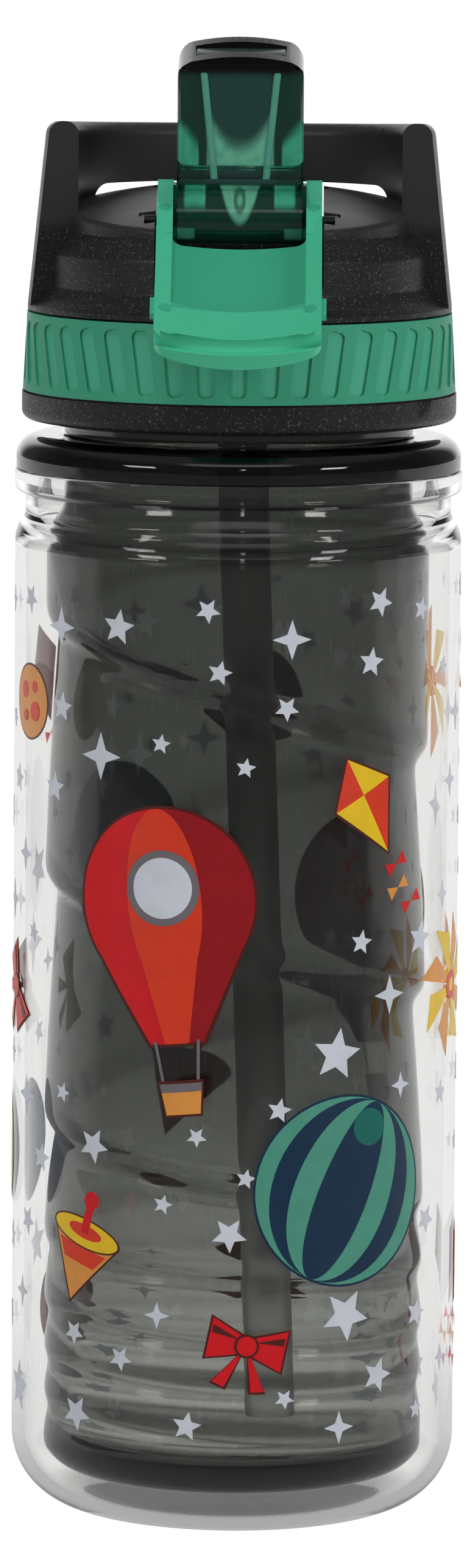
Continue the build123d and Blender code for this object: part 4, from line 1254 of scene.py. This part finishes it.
floor_finish, tree, matte = new_material("floor_white")
matte.inputs["Base Color"].default_value = (0.8, 0.8, 0.8, 1)
matte.inputs["Roughness"].default_value = 0.6
direct, through, mirrored = ray_masks(tree)
from_bottle = add_node(tree, "ShaderNodeVectorMath", operation="LENGTH")
wire(tree, own_place(tree), from_bottle.inputs[0])
from_bottle = from_bottle.outputs["Value"]
share = highest(tree, times(tree, direct, camera_share),
                times(tree, through, ramp(tree, from_bottle, 0.02, 0.036, 0.86, 0.92)),
                times(tree, mirrored, mirror_share))
mirror_change = ramp(tree, axis_of(tree, "Y"), -0.15, 0.2, mirror_glow - floor_glow, 1.0 - floor_glow)
brightness = calc(tree, "MULTIPLY_ADD", mirrored, mirror_change, floor_glow)
# painted shadow under the bottle, for rays through the clear walls
shade = ramp(tree, from_bottle, 0.022, 0.0365, 0.1, 1.0)
brightness = times(tree, brightness, highest(tree, mirrored, direct, shade))
glow = tree.nodes.new("ShaderNodeEmission")
wire(tree, brightness, glow.inputs["Strength"])
blend_shaders(tree, share, matte.outputs["BSDF"], glow.outputs["Emission"], tree.nodes["Material Output"])
floor_data.materials.append(floor_finish)
print("floor finish has", len(tree.nodes), "nodes")

# %% [markdown]
# ## World
# Rays that see the room directly, or through the clear walls, find plain white. Mirrored rays find a dark
# room instead, with windows, a strip overhead and a backdrop: these draw the long highlights on the walls
# and the lid, and the dark rest keeps black plastic black. A direction runs from -1 to 1 on each axis.

# %% World
room_light, dark_side, through_white = 0.13, 0.1, 0.92
window_low, window_high, window_edge = 0.27, 0.4, 0.02
# each window: where it starts and ends from west to east, how soft its edges are, and how bright it is
windows = ((-0.84, -0.65, 0.02, 11.0), (0.66, 0.82, 0.02, 14.0), (0.025, 0.075, 0.01, 7.0))

world = bpy.data.worlds.new("studio")
bpy.context.scene.world = world
world.use_nodes = True
tree = world.node_tree
direct, through, mirrored = ray_masks(tree)
towards = tree.nodes.new("ShaderNodeSeparateXYZ")
wire(tree, tree.nodes.new("ShaderNodeTexCoord").outputs["Generated"], towards.inputs["Vector"])
east, north, high = (towards.outputs[axis] for axis in "XYZ")
off_centre = calc(tree, "ABSOLUTE", east)

overhead = ramp(tree, high, 0.35, 0.8, 0.0, 0.25)
strip = times(tree, between(tree, high, 0.55, 0.6, 0.7, 0.75), fade_out(tree, off_centre, 0.3, 0.5, 1.5),
              fade_out(tree, north, -0.3, -0.1))
window = times(tree, between(tree, high, window_low, window_low + window_edge, window_high - window_edge,
                             window_high), fade_out(tree, north, -0.35, -0.3))
lit_windows = [times(tree, window, between(tree, east, start, start + edge, end - edge, end, level))
               for start, end, edge, level in windows]
beside = ramp(tree, off_centre, 0.93, 0.99, 0.0, 0.12)
backdrop = times(tree, ramp(tree, north, 0.2, 0.7, 0.0, 1.3), ramp(tree, off_centre, 0.3, 0.55, 1.0, 0.1),
                 ramp(tree, high, 0.52, 0.62, 1.0, 0.15))
shine = highest(tree, overhead, strip, *lit_windows, beside, backdrop, dark_side)
around = calc(tree, "MULTIPLY_ADD", mirrored, calc(tree, "SUBTRACT", shine, room_light), room_light)
plain = highest(tree, direct, times(tree, through, through_white))
room = tree.nodes["Background"]
wire(tree, highest(tree, plain, around), room.inputs["Strength"])
room.inputs["Color"].default_value = (1, 1, 1, 1)
print("world has", len(windows), "windows and", len(tree.nodes), "nodes")

# %% [markdown]
# ## Lamps
# Three large soft lamps light the matt plastics and the print: one on each side, and one high in front for
# the lid. They are hidden from mirrored rays and from rays through the walls, which find the world and the
# floor instead.

# %% Lamps
def soft_lamp(name, place, target, width, height, watts):
    light = bpy.data.lights.new(name, "AREA")
    light.shape = "RECTANGLE"
    light.size, light.size_y, light.energy = width, height, watts
    lamp = put_in_scene(name, light)
    lamp.visible_glossy = lamp.visible_transmission = False
    lamp.matrix_world = looking_at(place, target)


soft_lamp("left_softbox", (-1.1, -0.75, 0.4), (0, 0, 0.13), 0.5, 1.0, 6.5)
soft_lamp("right_softbox", (1.1, -0.75, 0.4), (0, 0, 0.13), 0.4, 1.0, 11.5)
soft_lamp("top_softbox", (-0.15, -0.4, 1.3), (0, 0, 0.2), 0.5, 0.5, 6.0)

# %% [markdown]
# ## Look
# Colours are shown with the plain Standard view.

# %% Look
bpy.context.scene.view_settings.view_transform = "Standard"
